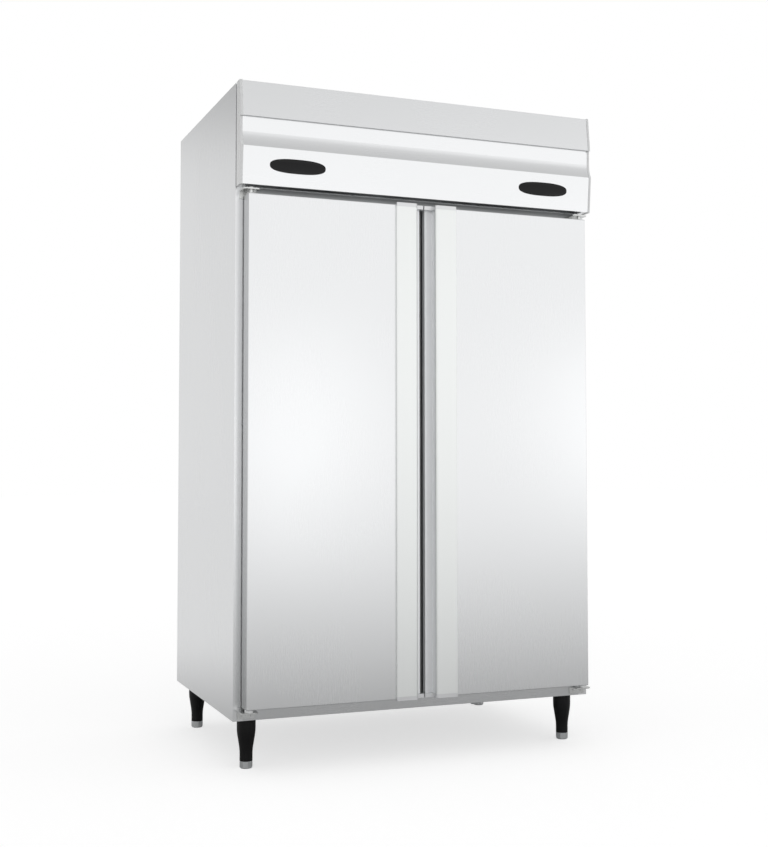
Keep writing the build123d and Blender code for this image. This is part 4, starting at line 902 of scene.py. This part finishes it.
class FRIDGE_OT_stage(Operator):
    """Set up the floor, the studio light and the camera"""

    bl_idname = "fridge.stage"
    bl_label = "Studio"

    # The lowest stop of the walls' brightness, as the sine of its height above the horizon.
    lowest = -0.2

    def execute(self, context):
        stage = settings("fridge_stage")
        self.floor(stage)
        self.studio(stage)
        self.lamp("glow_left_door", (0.60, -3.55, 1.00), (-0.30, 1, 0), (0.72, 1.30), stage.glow)
        self.lamp("glow_right_door", (2.72, -3.55, 1.14), (-0.62, 1, 0), (0.95, 1.15), stage.glow)
        self.camera(stage)
        context.scene.view_settings.view_transform = "Standard"
        return {"FINISHED"}

    def seen_directly(self, tree, rays):
        """A node that is 1 for what the camera sees, straight or through clear pieces."""
        return add(tree, "ShaderNodeMath", {
            0: rays.outputs["Is Camera Ray"], 1: rays.outputs["Is Transmission Ray"]}, operation="MAXIMUM")

    def floor(self, stage):
        """Pale matt floor: white to the camera apart from the shadow; in reflections a painted glow, dim
        beside the cabinet as a painted shadow and paler further away.
        """
        bpy.ops.object.select_all(action="DESELECT")
        bpy.ops.mesh.primitive_plane_add(size=60)
        floor = bpy.context.active_object
        floor.name = "studio_floor"
        made, tree, shader, place = blank_material("floor_matt_pale", stage.floor, 0.9)
        shader.inputs["Specular IOR Level"].default_value = 0.0
        # The glow that reflections see is a painted shadow of the cabinet: dim beside it and paler further
        # away.
        spot = add(tree, "ShaderNodeSeparateXYZ", {0: place})
        # In front of the doors a step sideways counts for less than a step away from them.
        squeeze = add(tree, "ShaderNodeMapRange", {
            "Value": spot.outputs[1], "From Min": -1.5, "From Max": -0.5, "To Min": 0.3, "To Max": 1.0})
        aside = add(tree, "ShaderNodeMath", {0: spot.outputs[0], 1: squeeze.outputs[0]},
                    operation="MULTIPLY")
        flat = add(tree, "ShaderNodeCombineXYZ", {0: aside.outputs[0], 1: spot.outputs[1]})
        away = add(tree, "ShaderNodeVectorMath", {0: flat.outputs[0]}, operation="LENGTH")
        # Beside and behind the cabinet the floor gets pale sooner.
        stretch = add(tree, "ShaderNodeMapRange", {
            "Value": spot.outputs[1], "From Min": -0.6, "From Max": 0.4, "To Min": 1.0, "To Max": 2.2})
        reach = add(tree, "ShaderNodeMath", {0: away.outputs["Value"], 1: stretch.outputs[0]},
                    operation="MULTIPLY")
        climb = add(tree, "ShaderNodeMapRange", {
            "Value": reach.outputs[0], "From Min": 1.3, "From Max": 10.0})
        curve = add(tree, "ShaderNodeMath", {0: climb.outputs[0], 1: 0.65}, operation="POWER")
        lit = add(tree, "ShaderNodeMath", {0: curve.outputs[0], 1: stage.floor_far, 2: stage.floor_near},
                  operation="MULTIPLY_ADD")
        limit = add(tree, "ShaderNodeMapRange", {
            "Value": spot.outputs[1], "From Min": -1.0, "From Max": 1.0,
            "To Min": stage.floor_far, "To Max": stage.floor_behind})
        capped = add(tree, "ShaderNodeMath", {0: lit.outputs[0], 1: limit.outputs[0]}, operation="MINIMUM")
        rays = add(tree, "ShaderNodeLightPath")
        clear = self.seen_directly(tree, rays)
        direct = add(tree, "ShaderNodeMath", {0: clear.outputs[0], 1: stage.floor_white},
                     operation="MULTIPLY")
        total = add(tree, "ShaderNodeMath", {
            0: rays.outputs["Is Glossy Ray"], 1: capped.outputs[0], 2: direct.outputs[0]},
            operation="MULTIPLY_ADD")
        shader.inputs["Emission Color"].default_value = (1, 1, 1, 1)
        tree.links.new(total.outputs[0], shader.inputs["Emission Strength"])
        floor.data.materials.append(made)

    def studio(self, stage):
        """White studio: bright walls in front, dimmer behind and overhead, plain white to the camera."""
        world = bpy.data.worlds.new("white_studio")
        world.use_nodes = True
        tree = world.node_tree
        tree.nodes.clear()
        place = add(tree, "ShaderNodeTexCoord")
        way = add(tree, "ShaderNodeSeparateXYZ", {0: place.outputs["Generated"]})
        rise = add(tree, "ShaderNodeMapRange", {
            "Value": way.outputs[2], "From Min": self.lowest, "From Max": 1.0})
        # Degrees above the horizon, and the wall's brightness there.
        front = self.profile(tree, rise, ((0, 0.93), (3, 0.91), (6, 0.84), (9, 0.80), (11, 0.90), (13, 1.0),
                                          (17, 1.0), (20, 0.84), (25, 0.60), (73, 0.52)))
        behind = self.profile(tree, rise, ((0, 0.69), (13.5, 0.68), (16.5, 0.38), (60, 0.45)))
        turn = add(tree, "ShaderNodeMapRange", {"Value": way.outputs[1], "From Min": -0.3, "From Max": 0.5})
        level = add(tree, "ShaderNodeMix", {0: turn.outputs[0], 6: front.outputs[0], 7: behind.outputs[0]},
                    data_type="RGBA")
        bright = add(tree, "ShaderNodeMath", {0: level.outputs[2], 1: stage.sky}, operation="MULTIPLY")
        clear = self.seen_directly(tree, add(tree, "ShaderNodeLightPath"))
        strength = add(tree, "ShaderNodeMix", {0: clear.outputs[0], 2: bright.outputs[0], 3: 1.0},
                       data_type="FLOAT")
        back = add(tree, "ShaderNodeBackground", {"Color": (1, 1, 1, 1), "Strength": strength.outputs[0]})
        add(tree, "ShaderNodeOutputWorld", {"Surface": back.outputs[0]})
        bpy.context.scene.world = world

    def profile(self, tree, rise, steps):
        """Colour ramp over the sine of the height above the horizon."""
        ramp = add(tree, "ShaderNodeValToRGB", {0: rise.outputs[0]})
        ramp.color_ramp.interpolation = "EASE"
        stops = ramp.color_ramp.elements
        for index, (degrees, brightness) in enumerate(steps):
            position = (math.sin(math.radians(degrees)) - self.lowest) / (1 - self.lowest)
            stop = stops[index] if index < 1 else stops.new(position)
            stop.position = position
            stop.color = (brightness, brightness, brightness, 1)
        stops.remove(stops[-1])
        return ramp

    def lamp(self, name, place, direction, size, brightness):
        """A soft oval lamp of an even brightness, hidden from the camera."""
        light = bpy.data.lights.new(name, "AREA")
        light.shape = "ELLIPSE"
        light.size, light.size_y = size
        area = math.pi / 4 * size[0] * size[1]
        light.energy = brightness * math.pi * area
        lamp = bpy.data.objects.new(name, light)
        lamp.location = place
        lamp.rotation_euler = Vector(direction).to_track_quat("-Z", "Y").to_euler()
        lamp.visible_camera = False
        bpy.context.scene.collection.objects.link(lamp)

    def camera(self, stage):
        """Camera at the photograph's place."""
        data = bpy.data.cameras.new("photo_camera")
        data.lens = stage.lens
        data.sensor_width = 36
        data.shift_x = stage.shift_x
        data.shift_y = stage.shift_y
        camera = bpy.data.objects.new("photo_camera", data)
        camera.location = stage.camera_place
        camera.rotation_euler = (math.pi / 2 + stage.camera_pitch, 0, -stage.camera_yaw)
        bpy.context.scene.collection.objects.link(camera)
        bpy.context.scene.camera = camera


OPERATORS = (FRIDGE_OT_outer_steel, FRIDGE_OT_inner_steel, FRIDGE_OT_galvanised, FRIDGE_OT_mouldings,
             FRIDGE_OT_display_windows, FRIDGE_OT_machinery, FRIDGE_OT_hardware,
             FRIDGE_OT_bracket_screws, FRIDGE_OT_rear_screws, FRIDGE_OT_cover_screws,
             FRIDGE_OT_compressor_nuts, FRIDGE_OT_return_bends, FRIDGE_OT_stage)


class FRIDGE_PT_sidebar(Panel):
    """Settings and steps of the fridge freezer"""

    bl_label = "Fridge freezer"
    bl_space_type = "VIEW_3D"
    bl_region_type = "UI"
    bl_category = "Fridge"

    def draw(self, context):
        for operator in OPERATORS:
            self.layout.operator(operator.bl_idname)
        for group, kind in GROUPS.items():
            box = self.layout.box()
            box.label(text=kind.__doc__)
            for name in kind.__annotations__:
                box.prop(getattr(context.scene, group), name)


def register():
    """Register the settings, the operators and the panel."""
    for kind in (*GROUPS.values(), *OPERATORS, FRIDGE_PT_sidebar):
        bpy.utils.register_class(kind)
    for group, kind in GROUPS.items():
        setattr(bpy.types.Scene, group, PointerProperty(type=kind))


def unregister():
    """Take back what register added."""
    for group in GROUPS:
        delattr(bpy.types.Scene, group)
    for kind in reversed((*GROUPS.values(), *OPERATORS, FRIDGE_PT_sidebar)):
        bpy.utils.unregister_class(kind)


def main():
    """Run every step in order."""
    register()
    for operator in OPERATORS:
        group, name = operator.bl_idname.split(".")
        getattr(getattr(bpy.ops, group), name)()


if __name__ == "__main__":
    main()
